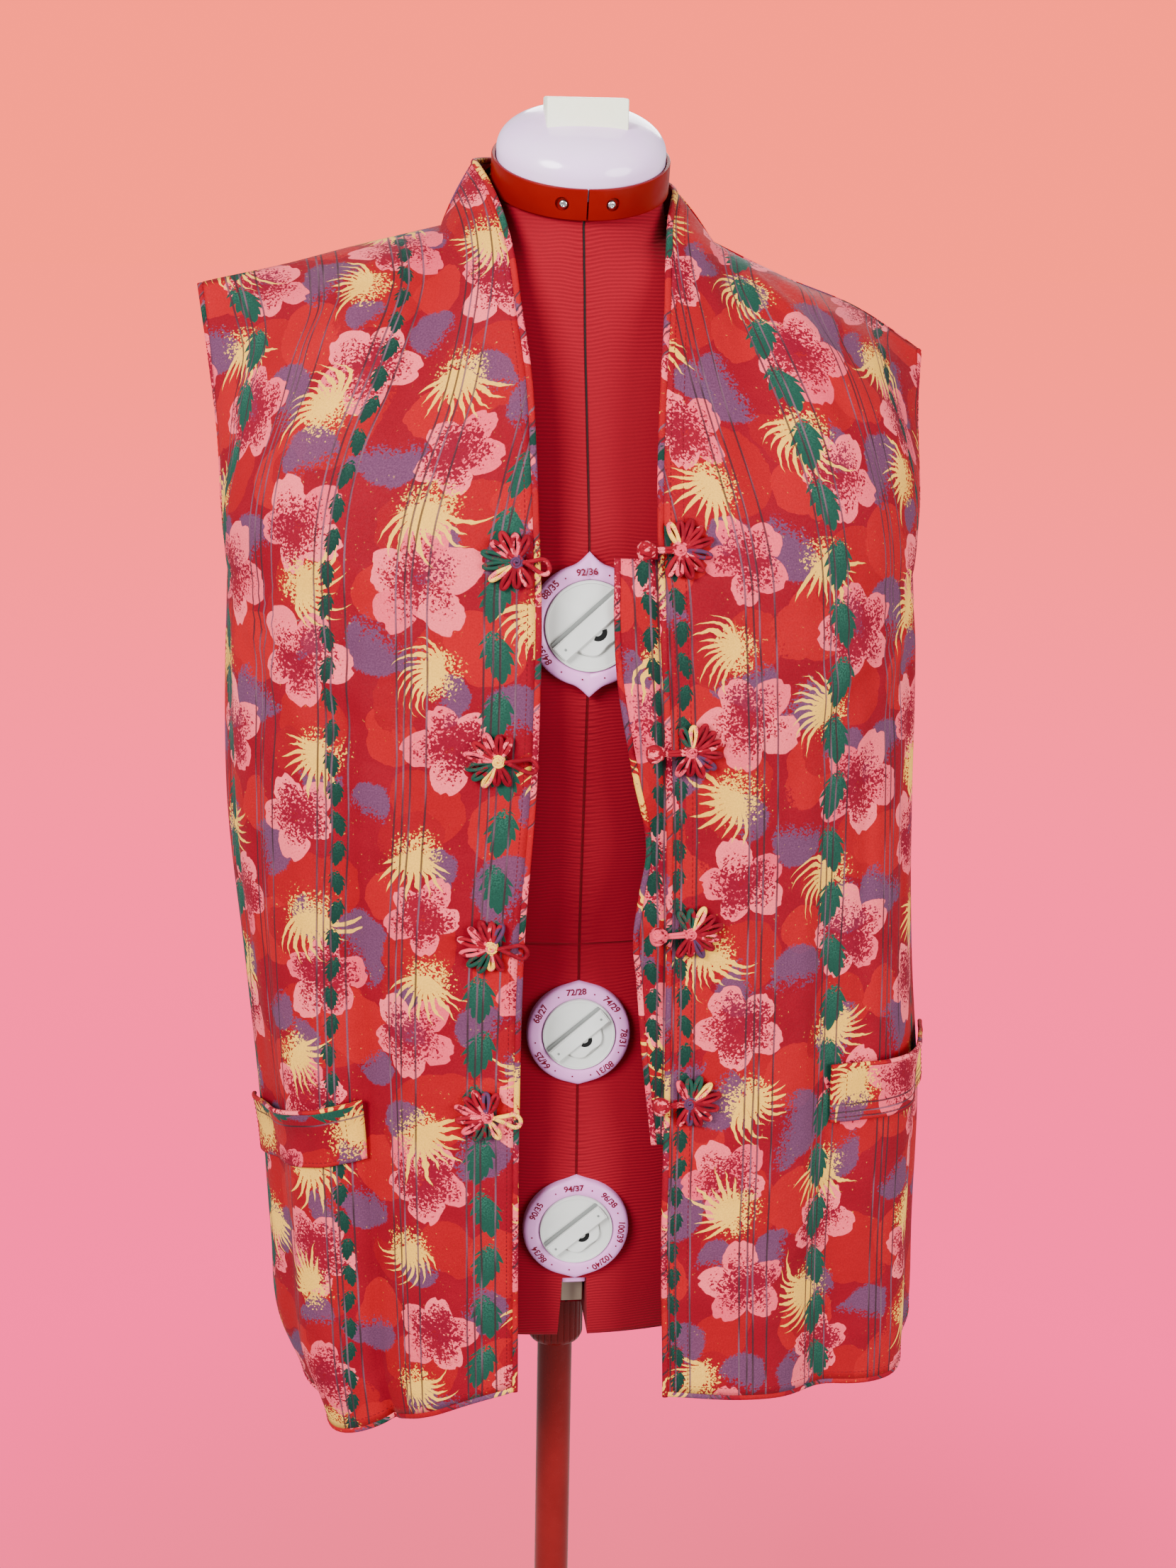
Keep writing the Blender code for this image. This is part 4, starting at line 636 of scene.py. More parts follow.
# Colours of the finishes as linear red, green and blue
dyes = {
    "crimson": (0.170, 0.0004, 0.0076), "crimsonLight": (0.250, 0.0005, 0.0110),
    "flowerGround": (0.190, 0.0020, 0.0170),
    "orange": (0.300, 0.0012, 0.0062), "orangeLight": (0.350, 0.0022, 0.0072),
    "orangeDeep": (0.250, 0.0010, 0.0078),
    "pink": (0.700, 0.056, 0.098), "pinkLight": (0.860, 0.125, 0.150),
    "straw": (0.690, 0.330, 0.035), "strawLight": (0.920, 0.500, 0.070),
    "violet": (0.070, 0.027, 0.070), "violetLight": (0.125, 0.052, 0.105),
    "leaf": (0.0090, 0.0500, 0.0330), "leafLight": (0.0220, 0.0930, 0.0620),
    "leafDark": (0.0055, 0.0290, 0.0205), "leafDarkLight": (0.0125, 0.0520, 0.0350),
    "thread": (0.0330, 0.0140, 0.0180), "threadLight": (0.1350, 0.0620, 0.0900),
    "knit": (0.222, 0.0030, 0.0112), "knitLight": (0.262, 0.0040, 0.0145),
    # Painted shade for the grooves of the knit's seams
    "knitSeamShade": (0.105, 0.0010, 0.0040),
    "band": (0.160, 0.0014, 0.0009), "bandLight": (0.190, 0.0024, 0.0013),
    "lilac": (0.680, 0.250, 0.590), "lilacLight": (0.760, 0.330, 0.680),
    "cap": (0.880, 0.560, 0.960), "capLight": (0.920, 0.680, 0.970),
    "cream": (0.940, 0.930, 0.700), "creamLight": (0.960, 0.950, 0.800),
    "white": (0.560, 0.560, 0.530), "whiteLight": (0.680, 0.690, 0.660),
    "grey": (0.290, 0.230, 0.165), "greyLight": (0.360, 0.300, 0.225),
    "grip": (0.170, 0.180, 0.170), "gripLight": (0.220, 0.230, 0.220),
    "ink": (0.120, 0.0020, 0.0120), "inkLight": (0.160, 0.0040, 0.0180),
    "steel": (0.52, 0.52, 0.54), "steelLight": (0.68, 0.68, 0.70),
    # Near-black painted shade for the insides of holes and slots and the neck end of the knit's seam
    "deepShade": (0.0060, 0.0060, 0.0060), "deepShadeLight": (0.0110, 0.0110, 0.0110),
    "pole": (0.150, 0.0048, 0.0050), "poleLight": (0.190, 0.0066, 0.0070),
    "stitch": (0.130, 0.0030, 0.0080), "stitchLight": (0.180, 0.0060, 0.0130),
}


def dye(name):
    return (*dyes[name], 1.0)


# Shader building. A Value is an output in a node tree. Arithmetic on it adds math nodes
# to that tree, so that a formula for a shader is written as it would be for numbers
class Value:
    def __init__(self, socket):
        self.socket = socket
        self.tree = socket.id_data

    def __add__(self, other):
        return calc("ADD", self, other)

    def __radd__(self, other):
        return calc("ADD", other, self)

    def __sub__(self, other):
        return calc("SUBTRACT", self, other)

    def __rsub__(self, other):
        return calc("SUBTRACT", other, self)

    def __mul__(self, other):
        return calc("MULTIPLY", self, other)

    def __rmul__(self, other):
        return calc("MULTIPLY", other, self)

    def __truediv__(self, other):
        return calc("DIVIDE", self, other)

    def __rtruediv__(self, other):
        return calc("DIVIDE", other, self)

    def __mod__(self, other):
        return calc("FLOORED_MODULO", self, other)

    def __pow__(self, other):
        return calc("POWER", self, other)

    def __abs__(self):
        return calc("ABSOLUTE", self)


def feed(socket, value):
    if isinstance(value, Value):
        value.tree.links.new(value.socket, socket)
    elif value is not None:
        socket.default_value = value


# Add a node of one type to the tree of the values that it is given, set its own
# properties, feed its inputs and give it back
def addNode(kind, inputs, tree=None, **settings):
    tree = tree or next(v.tree for v in inputs.values() if isinstance(v, Value))
    node = tree.nodes.new("ShaderNode" + kind)
    for key, setting in settings.items():
        setattr(node, key, setting)
    for key, value in inputs.items():
        feed(node.inputs[key], value)
    return node


def calc(operation, *values):
    return Value(addNode("Math", dict(enumerate(values)), operation=operation).outputs[0])


def sine(value):
    return calc("SINE", value)


def floor(value):
    return calc("FLOOR", value)


def brighten(color, scale):
    node = addNode("VectorMath", {0: color, "Scale": scale}, operation="SCALE")
    return Value(node.outputs["Vector"])


def combine(x, y, z=0.0):
    return Value(addNode("CombineXYZ", {0: x, 1: y, 2: z}).outputs[0])


def split(value):
    return [Value(k) for k in addNode("SeparateXYZ", {0: value}).outputs]


# A value carried from one range to another, smoothly and held at its ends
def ramp(value, low, high, toLow=0.0, toHigh=1.0, smooth=True):
    inputs = {"Value": value, "From Min": low, "From Max": high, "To Min": toLow, "To Max": toHigh}
    node = addNode("MapRange", inputs, interpolation_type="SMOOTHSTEP" if smooth else "LINEAR")
    return Value(node.outputs["Result"])


def mixed(amount, a, b):
    return Value(addNode("Mix", {0: amount, 6: a, 7: b}, data_type="RGBA").outputs[2])


def noise(place, scale, detail=2.0):
    inputs = {"Vector": place, "Scale": scale, "Detail": detail, "Roughness": 0.5}
    return Value(addNode("TexNoise", inputs, noise_dimensions="3D").outputs["Fac"])


# Random numbers of a cell: one, and three more
def scatter(x, y, z=0.0):
    node = addNode("TexWhiteNoise", {"Vector": combine(x, y, z)}, noise_dimensions="3D")
    return Value(node.outputs["Value"]), split(Value(node.outputs["Color"]))


def lengthOf(x, y):
    return calc("SQRT", x * x + y * y)


# Node group with named inputs and outputs. Inputs are floats but for those named here
def makeGroup(name, inputs, outputs):
    kinds = {"Place": "Vector", "Cell": "Vector", "Shift": "Vector", "Dark": "Color",
             "Light": "Color", "Color": "Color"}
    tree = bpy.data.node_groups.new(name, "ShaderNodeTree")
    for way, titles in (("INPUT", inputs), ("OUTPUT", outputs)):
        for title in titles.split():
            tree.interface.new_socket(title, in_out=way,
                                      socket_type="NodeSocket" + kinds.get(title, "Float"))
    given, result = tree.nodes.new("NodeGroupInput"), tree.nodes.new("NodeGroupOutput")
    return {k: Value(given.outputs[k]) for k in inputs.split()}, result.inputs


def useGroup(group, tree=None, **values):
    node = addNode("Group", {}, tree or values["Place"].tree, node_tree=group)
    for key, value in values.items():
        feed(node.inputs[key], value)
    return {socket.name: Value(socket) for socket in node.outputs}


# Print of the cloth

# Sizes in metres. Each kind of motif stands on its own brick lattice, shifted by parts of
# a cell so that the kinds fall between one another
motifs = {
    "cell": (0.0800, 0.0960, 0.0),
    "flower": {"shift": (0.77, 0.81), "jitter": 0.022, "size": 0.0318},
    "tuft": {"shift": (0.70, 0.31), "jitter": 0.026, "size": 0.0375},
    "violet": {"shift": (0.27, 0.07), "jitter": 0.024, "size": 0.0170},
    "leafPitch": 0.0365, "leafHalf": 0.0112, "smallPitch": 0.0195, "smallHalf": 0.0056,
    "leafAt": 0.020, "smallAt": 0.125, "chainPeriod": 0.21,
    "stripePeriod": 0.0525, "stripes": (0.0110, 0.0205, 0.0246, 0.0298),
    "dots": 1000.0,
}


# A brick lattice over the cloth, one motif to a cell. Odd columns are half a cell up.
# Each cell moves its motif by its own random numbers
def makeLattice():
    given, result = makeGroup("printLattice", "Place Cell Shift Seed Jitter", "X Y A B C")
    (x, y, _), (width, height, _) = split(given["Place"]), split(given["Cell"])
    shiftX, shiftY, _ = split(given["Shift"])
    across = x / width + shiftX
    column = floor(across)
    up = y / height + (column % 2.0 * 0.5 + shiftY)
    row = floor(up)
    chance = scatter(column, row, given["Seed"])[1]
    for name, part, cell, size, dice in (("X", across, column, width, chance[0]),
                                         ("Y", up, row, height, chance[1])):
        feed(result[name], (part - cell - 0.5) * size - (dice - 0.5) * given["Jitter"])
    more = scatter(row, column, given["Seed"] + 7.3)[1]
    for name, dice in (("A", chance[2]), ("B", more[0]), ("C", more[1])):
        feed(result[name], dice)
    return result[0].id_data


motifInputs = "Place Dots Cell Shift Seed Jitter Size"


def motifCell(lattice, given):
    return useGroup(lattice, **{k: given[k] for k in ("Place", "Cell", "Shift", "Seed", "Jitter")})


# Five-petalled flower. In each fifth of the turn the petal is an ellipse whose middle is
# 0.56 of the flower's reach out, so that petals part towards their tips. Its colour thins
# to dots towards the flower's middle and along one of its sides
def makeFlowerPrint(lattice):
    given, result = makeGroup("printFlower", motifInputs, "Petals Inside Shade")
    cell = motifCell(lattice, given)
    far = lengthOf(cell["X"], cell["Y"])
    fifth = (calc("ARCTAN2", cell["Y"], cell["X"]) + cell["A"] * 6.28) * (5 / (2 * pi))
    petal = floor(fifth)
    dice, more = scatter(petal % 5.0, cell["B"], cell["C"])
    size = given["Size"] * (0.82 + dice * 0.26) * (0.88 + cell["C"] * 0.26)
    off = (fifth - petal - 0.5) * (2 * pi / 5) + (more[1] - 0.5) * 0.16
    ahead, aside = far * calc("COSINE", off) / size, far * sine(off) / size
    bite = ramp(abs(aside), 0.0, 0.10, 1.0, 0.0) * ramp(ahead, 0.70, 1.0, 0.0, 0.16)
    edge = lengthOf((ahead - 0.56) / 0.46, aside / 0.375) + bite
    inside = ramp(edge, 0.97, 1.01, 1.0, 0.0)
    low = 0.42 - dice * 0.50
    thin = ahead + aside * (more[0] - 0.5) * 1.3
    rimward = ramp(edge, 0.50, 0.95, 0.0, 0.34) * ramp(ahead, 0.25, 0.6)
    cover = ramp(thin, low, low + 0.80, 0.12, 0.86, smooth=False) + rimward
    heart = ramp(far / given["Size"], 0.42, 0.66, 1.0, 0.0) * ramp(given["Dots"], 0.25, 0.35)
    feed(result["Petals"], inside * ramp(cover - given["Dots"], -0.12, 0.12))
    feed(result["Inside"], calc("MAXIMUM", inside, heart))
    feed(result["Shade"], more[1])
    return result[0].id_data


# Tuft: a dotted body on one side, and on the other a fan of strokes that bend and taper
def makeTuftPrint(lattice):
    given, result = makeGroup("printTuft", motifInputs, "Tuft")
    cell = motifCell(lattice, given)
    share = lengthOf(cell["X"], cell["Y"]) / (given["Size"] * (0.86 + cell["C"] * 0.28))
    bend = share * share * (cell["B"] * 1.7 - 0.70)
    turn = calc("ARCTAN2", cell["Y"], cell["X"]) + bend - (cell["A"] * 3.6 - 2.6)
    turn = calc("WRAP", turn, pi, -pi)
    fan = turn / 0.235
    stroke = floor(fan)
    dice, more = scatter(stroke, cell["B"], cell["C"])
    taper = ramp(share, 0.16 + more[1] * 0.20, 0.72 + dice * 0.34, 0.54, 0.0, smooth=False)
    strokes = ramp(taper - abs(fan - stroke - 0.5), 0.01, 0.06)
    strokes = strokes * ramp(abs(turn), 1.16, 1.24, 1.0, 0.0)
    ahead = share * calc("COSINE", turn)
    cover = ramp(ahead, -0.60, 0.46, 0.0, 1.15, smooth=False) * ramp(share, 0.16, 0.62, 1.0, 0.0)
    body = ramp(cover - given["Dots"], -0.10, 0.10) * ramp(ahead, -0.64, -0.50)
    feed(result["Tuft"], calc("MAXIMUM", strokes, body))
    return result[0].id_data


# Blot: two overlapping discs, crisp on one side and thinning to dots on the other
def makeBlotPrint(lattice):
    given, result = makeGroup("printBlot", motifInputs + " Fade Soft", "Blot")
    cell = motifCell(lattice, given)
    size = given["Size"] * (0.74 + cell["B"] * 0.46)
    facing = cell["A"] * (2 * pi)
    turn = calc("ARCTAN2", cell["Y"], cell["X"]) - facing
    share = lengthOf(cell["X"], cell["Y"]) / size
    way = facing + (cell["C"] - 0.5) * pi
    second = lengthOf(cell["X"] + calc("COSINE", way) * size * 0.72,
                      cell["Y"] + sine(way) * size * 0.72) / (size * 0.70)
    nearest = calc("MINIMUM", share, second)
    cover = ramp(share * calc("COSINE", turn), given["Fade"] - 1.0, given["Fade"], 0.0, 1.1)
    rim = ramp(nearest, 1.0 - given["Soft"], 1.02, 1.0, 0.0)
    rim = ramp(rim * 1.2 - given["Dots"] * given["Soft"], 0.02, 0.20)
    feed(result["Blot"], ramp(cover - given["Dots"], -0.08, 0.08) * rim)
    return result[0].id_data


# Chain of leaves up the grain. A leaf's half-width goes as a sine arch along it, pointed
# at the foot, and its sides are cut by a saw that leans towards the tip
def makeLeafPrint():
    given, result = makeGroup("printLeaves", "Place At Pitch Half Dots Seed", "Leaf Vein")
    x, y, _ = split(given["Place"])
    local = x - given["At"] - sine(y * 23.0 + given["Seed"]) * 0.0030
    local = calc("WRAP", local, motifs["chainPeriod"] / 2, -motifs["chainPeriod"] / 2)
    rise = y / given["Pitch"] + given["Seed"]
    leaf = floor(rise)
    dice, more = scatter(leaf, given["Seed"], 3.1)
    t = rise - leaf
    lean = (leaf % 2.0 - (0.30 + dice * 0.4)) * 1.1
    local = local - ((t - 0.5) * lean * given["Half"] + (more[0] - 0.5) * (given["Half"] * 0.35))
    off, flank = abs(local) / given["Half"], calc("SIGN", local)
    u = ramp(t, 0.03, 0.93, smooth=False)
    arch = sine(u ** 1.15 * pi) ** 0.70
    saw = calc("FRACT", u * 4.4 + off * 0.80 + flank * 0.21)
    outline = arch * (1.0 - saw * (0.40 + flank * 0.08))
    dotted = ramp(ramp(u, 0.62, 1.05, 1.15, 0.45) - given["Dots"], -0.08, 0.08)
    feed(result["Leaf"], ramp(outline - off, -0.03, 0.03) * dotted)
    feed(result["Vein"], ramp(off, 0.0, 0.9, 1.0, 0.0) * ramp(u, 0.2, 0.9))
    return result[0].id_data


# Pinstripes up the grain in groups of four, a little wavy and broken in tone
def makeStripePrint():
    given, result = makeGroup("printStripes", "Place", "Line Tone")
    x, y, _ = split(given["Place"])
    period = motifs["stripePeriod"]
    group = floor(x / period)
    local = x - group * period
    lines = None
    for number, at in enumerate(motifs["stripes"]):
        wave = noise(combine(group + number * 3.7, y * 9.0), 1.0)
        line = ramp(abs(local - (at + (wave - 0.5) * 0.0034)), 0.00042, 0.00082, 1.0, 0.0)
        lines = line if lines is None else calc("MAXIMUM", lines, line)
    feed(result["Line"], lines)
    feed(result["Tone"], ramp(noise(combine(x * 300.0, y * 22.0), 1.0, 1.0), 0.42, 0.66))
    return result[0].id_data


# Whole print: crimson ground, orange-red discs, violet blots, pink flowers, pale tufts,
# leaf chains and pinstripes, laid over each other in that order
def makePrint():
    lattice = makeLattice()
    flower, tuft = makeFlowerPrint(lattice), makeTuftPrint(lattice)
    blot, leaves, stripes = makeBlotPrint(lattice), makeLeafPrint(), makeStripePrint()
    given, result = makeGroup("floralPrint", "Place", "Color Height")
    whole = given["Place"]
    swing = noise(whole, 55.0) - 0.5 + (noise(whole, 260.0, 1.0) - 0.5) * 0.16
    place = Value(addNode("VectorMath", {0: whole, 1: combine(swing * 0.009, swing * -0.008)},
                          operation="ADD").outputs["Vector"])
    cells = addNode("TexVoronoi", {"Vector": whole, "Scale": motifs["dots"]},
                    voronoi_dimensions="2D").outputs["Color"]
    grain = noise(whole, 900.0, 1.0)
    clump = ramp(noise(whole, 420.0, 1.0), 0.30, 0.70, smooth=False)
    dots = split(Value(cells))[0] * 0.72 + clump * 0.28
    cloud = noise(whole, 30.0, 3.0)
    color = mixed(cloud, dye("crimson"), dye("crimsonLight"))

    def lay(group, kind, seed, size=1.0, shift=(0.0, 0.0), **more):
        entry = motifs[kind]
        moved = (entry["shift"][0] + shift[0], entry["shift"][1] + shift[1], 0.0)
        return useGroup(group, Place=place, Dots=dots, Seed=seed, Cell=motifs["cell"], Shift=moved,
                        Jitter=entry["jitter"], Size=entry["size"] * size, **more)

    for seed, size, shift, tint in ((1.0, 1.45, (0.55, 0.15), "orange"),
                                    (4.0, 1.22, (0.05, 0.62), "orangeLight"),
                                    (9.0, 0.95, (0.30, 0.38), "orangeDeep")):
        shape = lay(blot, "violet", seed, size, shift, Fade=-0.75, Soft=0.10)["Blot"]
        color = mixed(shape * 0.90, color, dye(tint))
    for seed, size, shift in ((12.0, 1.32, (0.0, 0.0)), (15.0, 1.12, (0.46, 0.40))):
        shape = lay(blot, "violet", seed, size, shift, Fade=0.22, Soft=0.45)["Blot"]
        color = mixed(shape * 0.88, color, mixed(grain, dye("violet"), dye("violetLight")))
    found = lay(flower, "flower", 21.0)
    color = mixed(found["Inside"] * 0.80, color, dye("flowerGround"))
    color = mixed(found["Petals"], color, mixed(found["Shade"], dye("pink"), dye("pinkLight")))
    shape = lay(tuft, "tuft", 33.0)["Tuft"]
    color = mixed(shape, color, mixed(cloud, dye("straw"), dye("strawLight")))
    for chain, seed, tint in (("leaf", 0.35, "leaf"), ("small", 0.80, "leafDark")):
        found = useGroup(leaves, Place=whole, At=motifs[chain + "At"], Dots=dots, Seed=seed,
                         Pitch=motifs[chain + "Pitch"], Half=motifs[chain + "Half"])
        pale = found["Vein"] * ramp(grain, 0.35, 0.65)
        color = mixed(found["Leaf"], color, mixed(pale, dye(tint), dye(tint + "Light")))
    found = useGroup(stripes, Place=whole)
    thread = mixed(found["Tone"], dye("thread"), dye("threadLight"))
    color = mixed(found["Line"] * 0.88, color, thread)
    feed(result["Color"], brighten(color, ramp(grain, 0.2, 0.8, 0.88, 1.10)))
    feed(result["Height"], found["Line"] * 0.5)
    return result[0].id_data


# Plain weave: threads each way over the cloth, taking turns on top
def makeWeave():
    given, result = makeGroup("plainWeave", "Place Pitch", "Height")
    x, y, _ = split(given["Place"])
    feed(result["Height"], sine(x / given["Pitch"] * pi) * sine(y / given["Pitch"] * pi))
    return result[0].id_data


# New material: its own tree, its shader, and its place on the UV map or on the object
def newMaterial(name, flat=False):
    material = bpy.data.materials.new(name)
    material.use_nodes = True
    tree = material.node_tree
    if flat:
        place = addNode("UVMap", {}, tree, uv_map="cloth").outputs["UV"]
    else:
        place = addNode("TexCoord", {}, tree).outputs["Object"]
    return material, tree.nodes["Principled BSDF"], Value(place)


# Colour, roughness, constants, and the sum of heights in metres as one bump
def finish(shader, color, rough, height, **values):
    feed(shader.inputs["Base Color"], color)
    feed(shader.inputs["Roughness"], rough)
    if height is not None:
        bump = addNode("Bump", {"Distance": 1.0, "Height": height})
        feed(shader.inputs["Normal"], Value(bump.outputs["Normal"]))
    for key, value in values.items():
        shader.inputs[key.replace("_", " ")].default_value = value


def makeCotton(name, floral, weave):
    material, shader, place = newMaterial(name, flat=True)
    drawn = useGroup(floral, Place=place)
    threads = useGroup(weave, Place=place, Pitch=0.00042)["Height"]
    slub, soft = noise(place, 420.0), noise(place, 26.0, 3.0)
    x, y, _ = split(place)
    folds = noise(combine(x * 17.0, y * 4.5), 1.0)
    height = (threads * 0.000035 + drawn["Height"] * -0.00030 + slub * 0.00010
              + folds * 0.0075 + soft * 0.0026)
    finish(shader, drawn["Color"], ramp(slub, 0.3, 0.7, 0.62, 0.78), height,
           Sheen_Weight=0.02, Sheen_Roughness=0.40, Specular_IOR_Level=0.09)
    return material


# Cloth tube of the frogs. The whole number in its first coordinate, over six, leaves the
# kind of its colours: a main one and one in blotches along it
tubeKinds = (("crimson", "crimsonLight"), ("pink", "crimson"), ("strawLight", "pinkLight"),
             ("leaf", "crimson"), ("violet", "crimsonLight"), ("crimsonLight", "pinkLight"))


def makeTubeCotton(weave):
    material, shader, place = newMaterial("frogCotton", flat=True)
    x, y, _ = split(place)
    number = floor(x + 0.0005)
    girth = x - number
    local = combine(girth, y, number)
    patch = noise(local, 150.0)
    kind = number % 6.0
    color, second = (dye(k) for k in tubeKinds[0])
    for step, (main, blotch) in enumerate(tubeKinds[1:]):
        past = ramp(kind, step + 0.4, step + 0.6)
        color, second = mixed(past, color, dye(main)), mixed(past, second, dye(blotch))
    color = mixed(ramp(patch, 0.53, 0.59), color, second)
    speck = ramp(noise(local, 1500.0, 1.0), 0.58, 0.64) * ramp(patch, 0.44, 0.50)
    color = mixed(speck, color, dye("flowerGround"))
    threads = useGroup(weave, Place=combine(girth, y), Pitch=0.00042)["Height"]
    crease = noise(combine(girth * 500.0, y * 90.0, number), 1.0)
    finish(shader, color, ramp(crease, 0.3, 0.7, 0.60, 0.74), threads * 0.00003 + crease * 0.0009,
           Sheen_Weight=0.03, Sheen_Roughness=0.40, Specular_IOR_Level=0.10)
    return material


# Ribbed jersey over the form: fine ribs across, a seam down the front with its puckers,
# and one round the waist. The seams' grooves carry painted shade, darkening to near
# black towards the neck, and the ribs carry painted light and shade
knit = {"pitch": 0.0022, "pucker": 0.0044, "seamX": -0.002, "waist": 0.939}


def makeKnit():
    material, shader, place = newMaterial("ribbedKnit")
    x, y, z = split(place)
    sway = noise(place, 14.0) * 0.010
    fromSeam, fromWaist = abs(x - knit["seamX"]), abs(z - knit["waist"])
    atFront = ramp(y, -0.02, 0.0, 1.0, 0.0)
    pull = ramp(fromSeam, 0.0, 0.016, 0.0016, 0.0) * atFront
    rib = sine((z + sway + pull) * (2 * pi / knit["pitch"]))
    rib = rib * ramp(noise(place, 9.0), 0.36, 0.64, 0.35, 1.0)
    pucker = sine(z * (2 * pi / knit["pucker"])) * ramp(fromSeam, 0.0, 0.012, 1.0, 0.0)
    # Painted shade: masks of the dark lines down the front seam and round the waist seam, where
    # their grooves lie in shade
    seam = ramp(fromSeam, 0.0003, 0.0010, 1.0, 0.0) * atFront
    gap = calc("MAXIMUM", seam, ramp(fromWaist, 0.0003, 0.0010, 1.0, 0.0) * 0.55)
    yarn = noise(combine(x * 900.0, y * 900.0, z * 2600.0), 1.0, 1.0)
    color = mixed(noise(place, 8.0, 3.0), dye("knit"), dye("knitLight"))
    # Painted light and shade: the colour is lightened on the ribs' crests and darkened in their
    # troughs, besides the yarn's random tone
    color = brighten(color, ramp(rib, -1.0, 1.0, 0.80, 1.10) + ramp(yarn, 0.3, 0.7, -0.05, 0.05))
    # Painted shade for the seams' grooves: dark red, going over to near black towards the neck
    depth = mixed(ramp(z, 1.12, 1.30), dye("knitSeamShade"), dye("deepShadeLight"))
    height = (rib * 0.00013 + pucker * atFront * 0.00022 + yarn * 0.00006 + gap * -0.0011)
    finish(shader, mixed(gap, color, depth), ramp(yarn, 0.3, 0.7, 0.74, 0.90), height,
           Sheen_Weight=0.02, Sheen_Roughness=0.5, Specular_IOR_Level=0.08)
    return material


# Moulded plastic: soft clouds of tone, a fine grain that breaks up the gloss
def makeMould():
    given, result = makeGroup("mouldedPlastic", "Place Dark Light Smooth Dull",
                              "Color Rough Height")
    cloud, grain, wear = (noise(given["Place"], scale, detail) for scale, detail in (
        (24.0, 3.0), (1400.0, 2.0), (160.0, 3.0)))
    tone = ramp(cloud, 0.32, 0.68) * 0.7 + wear * 0.3
    feed(result["Color"], mixed(tone, given["Dark"], given["Light"]))
    feed(result["Rough"], ramp(wear, 0.35, 0.70, given["Smooth"], given["Dull"]))
    feed(result["Height"], grain * 0.000012 + cloud * 0.00006)
    return result[0].id_data


# Moulded finishes: name, least and most roughness, and the shader's other constants
mouldedTable = {
    "band": ("satinRedPlastic", 0.32, 0.42, {"Specular_IOR_Level": 0.09}),
    "lilac": ("lilacPlastic", 0.30, 0.42, {"Specular_IOR_Level": 0.35}),
    "cap": ("paleLilacPlastic", 0.16, 0.26, {"Coat_Weight": 0.4, "Coat_Roughness": 0.08}),
    "cream": ("creamPlastic", 0.26, 0.38, {}),
    "white": ("whitePlastic", 0.34, 0.46, {"Specular_IOR_Level": 0.35}),
    "grip": ("greyGroove", 0.45, 0.6, {}),
    "grey": ("beigePlastic", 0.42, 0.55, {}),
    "ink": ("dialInk", 0.45, 0.6, {"Specular_IOR_Level": 0.2}),
    # Painted shade: near-black finish standing for the shade inside holes and slots
    "deepShade": ("paintedDeepShade", 0.6, 0.8, {"Specular_IOR_Level": 0.1}),
    "steel": ("brightSteel", 0.16, 0.32, {"Metallic": 1.0}),
    "pole": ("redEnamel", 0.20, 0.30, {"Specular_IOR_Level": 0.22}),
    "stitch": ("redThread", 0.7, 0.85, {"Specular_IOR_Level": 0.15}),
}


def makePlastic(mould, tint):
    name, smooth, dull, values = mouldedTable[tint]
    material, shader, place = newMaterial(name)
    made = useGroup(mould, Place=place, Dark=dye(tint), Light=dye(tint + "Light"), Smooth=smooth,
                    Dull=dull)
    finish(shader, made["Color"], made["Rough"], made["Height"], **values)
    return material


floral, weave, mould = makePrint(), makeWeave(), makeMould()
finishes = {"cotton": makeCotton("printedCotton", floral, weave), "tube": makeTubeCotton(weave),
            "knit": makeKnit(), **{tint: makePlastic(mould, tint) for tint in mouldedTable}}
print("finishes made")


for name in side:
    makeFront(name, finishes["cotton"])
makeBack(finishes["cotton"])
makeCollar(finishes["cotton"])
print("panels made")


# Depth of a front's outer face as seen from straight ahead, on an even raster of x and z
raster = {"x": np.linspace(0.030, 0.200, 150), "z": np.linspace(0.72, 1.30, 400)}


def depthMap(name):
    grid, normals = surfaces[name]
    outer = grid + normals * garment["wall"] / 2
    rows = [np.stack([np.interp(raster["x"], np.abs(row[:, 0]), row[:, k]) for k in (1, 2)], axis=-1)
            for row in np.swapaxes(outer, 0, 1)]
    return np.stack([np.interp(raster["z"], c[:, 1], c[:, 0]) for c in np.stack(rows, axis=1)])


depthMaps = {name: depthMap(name) for name in side}


# Depth read between the raster's points. Past the front edge it stays level
def faceY(name, x, z):
    xs, zs, depth = raster["x"], raster["z"], depthMaps[name]
    held = np.maximum(np.abs(x), edgeX(name, z) + 0.0020)
    i = np.clip((held - xs[0]) / (xs[1] - xs[0]), 0, len(xs) - 1.001)
    j = np.clip((z - zs[0]) / (zs[1] - zs[0]), 0, len(zs) - 1.001)
    a, b = i.astype(int), j.astype(int)
    f, g = i - a, j - b
    low = depth[a, b] * (1 - f) + depth[a + 1, b] * f
    high = depth[a, b + 1] * (1 - f) + depth[a + 1, b + 1] * f
    return low * (1 - g) + high * g


# Points given by a place ahead of a front and a height above its face
def standing(name, x, z, high):
    x, z, high = np.broadcast_arrays(x, z, high)
    return np.stack([x, faceY(name, x, z) - high, z], axis=-1)


# Frogs: name, left flower's x and z, loop's tip, right flower's x and z, ball's x

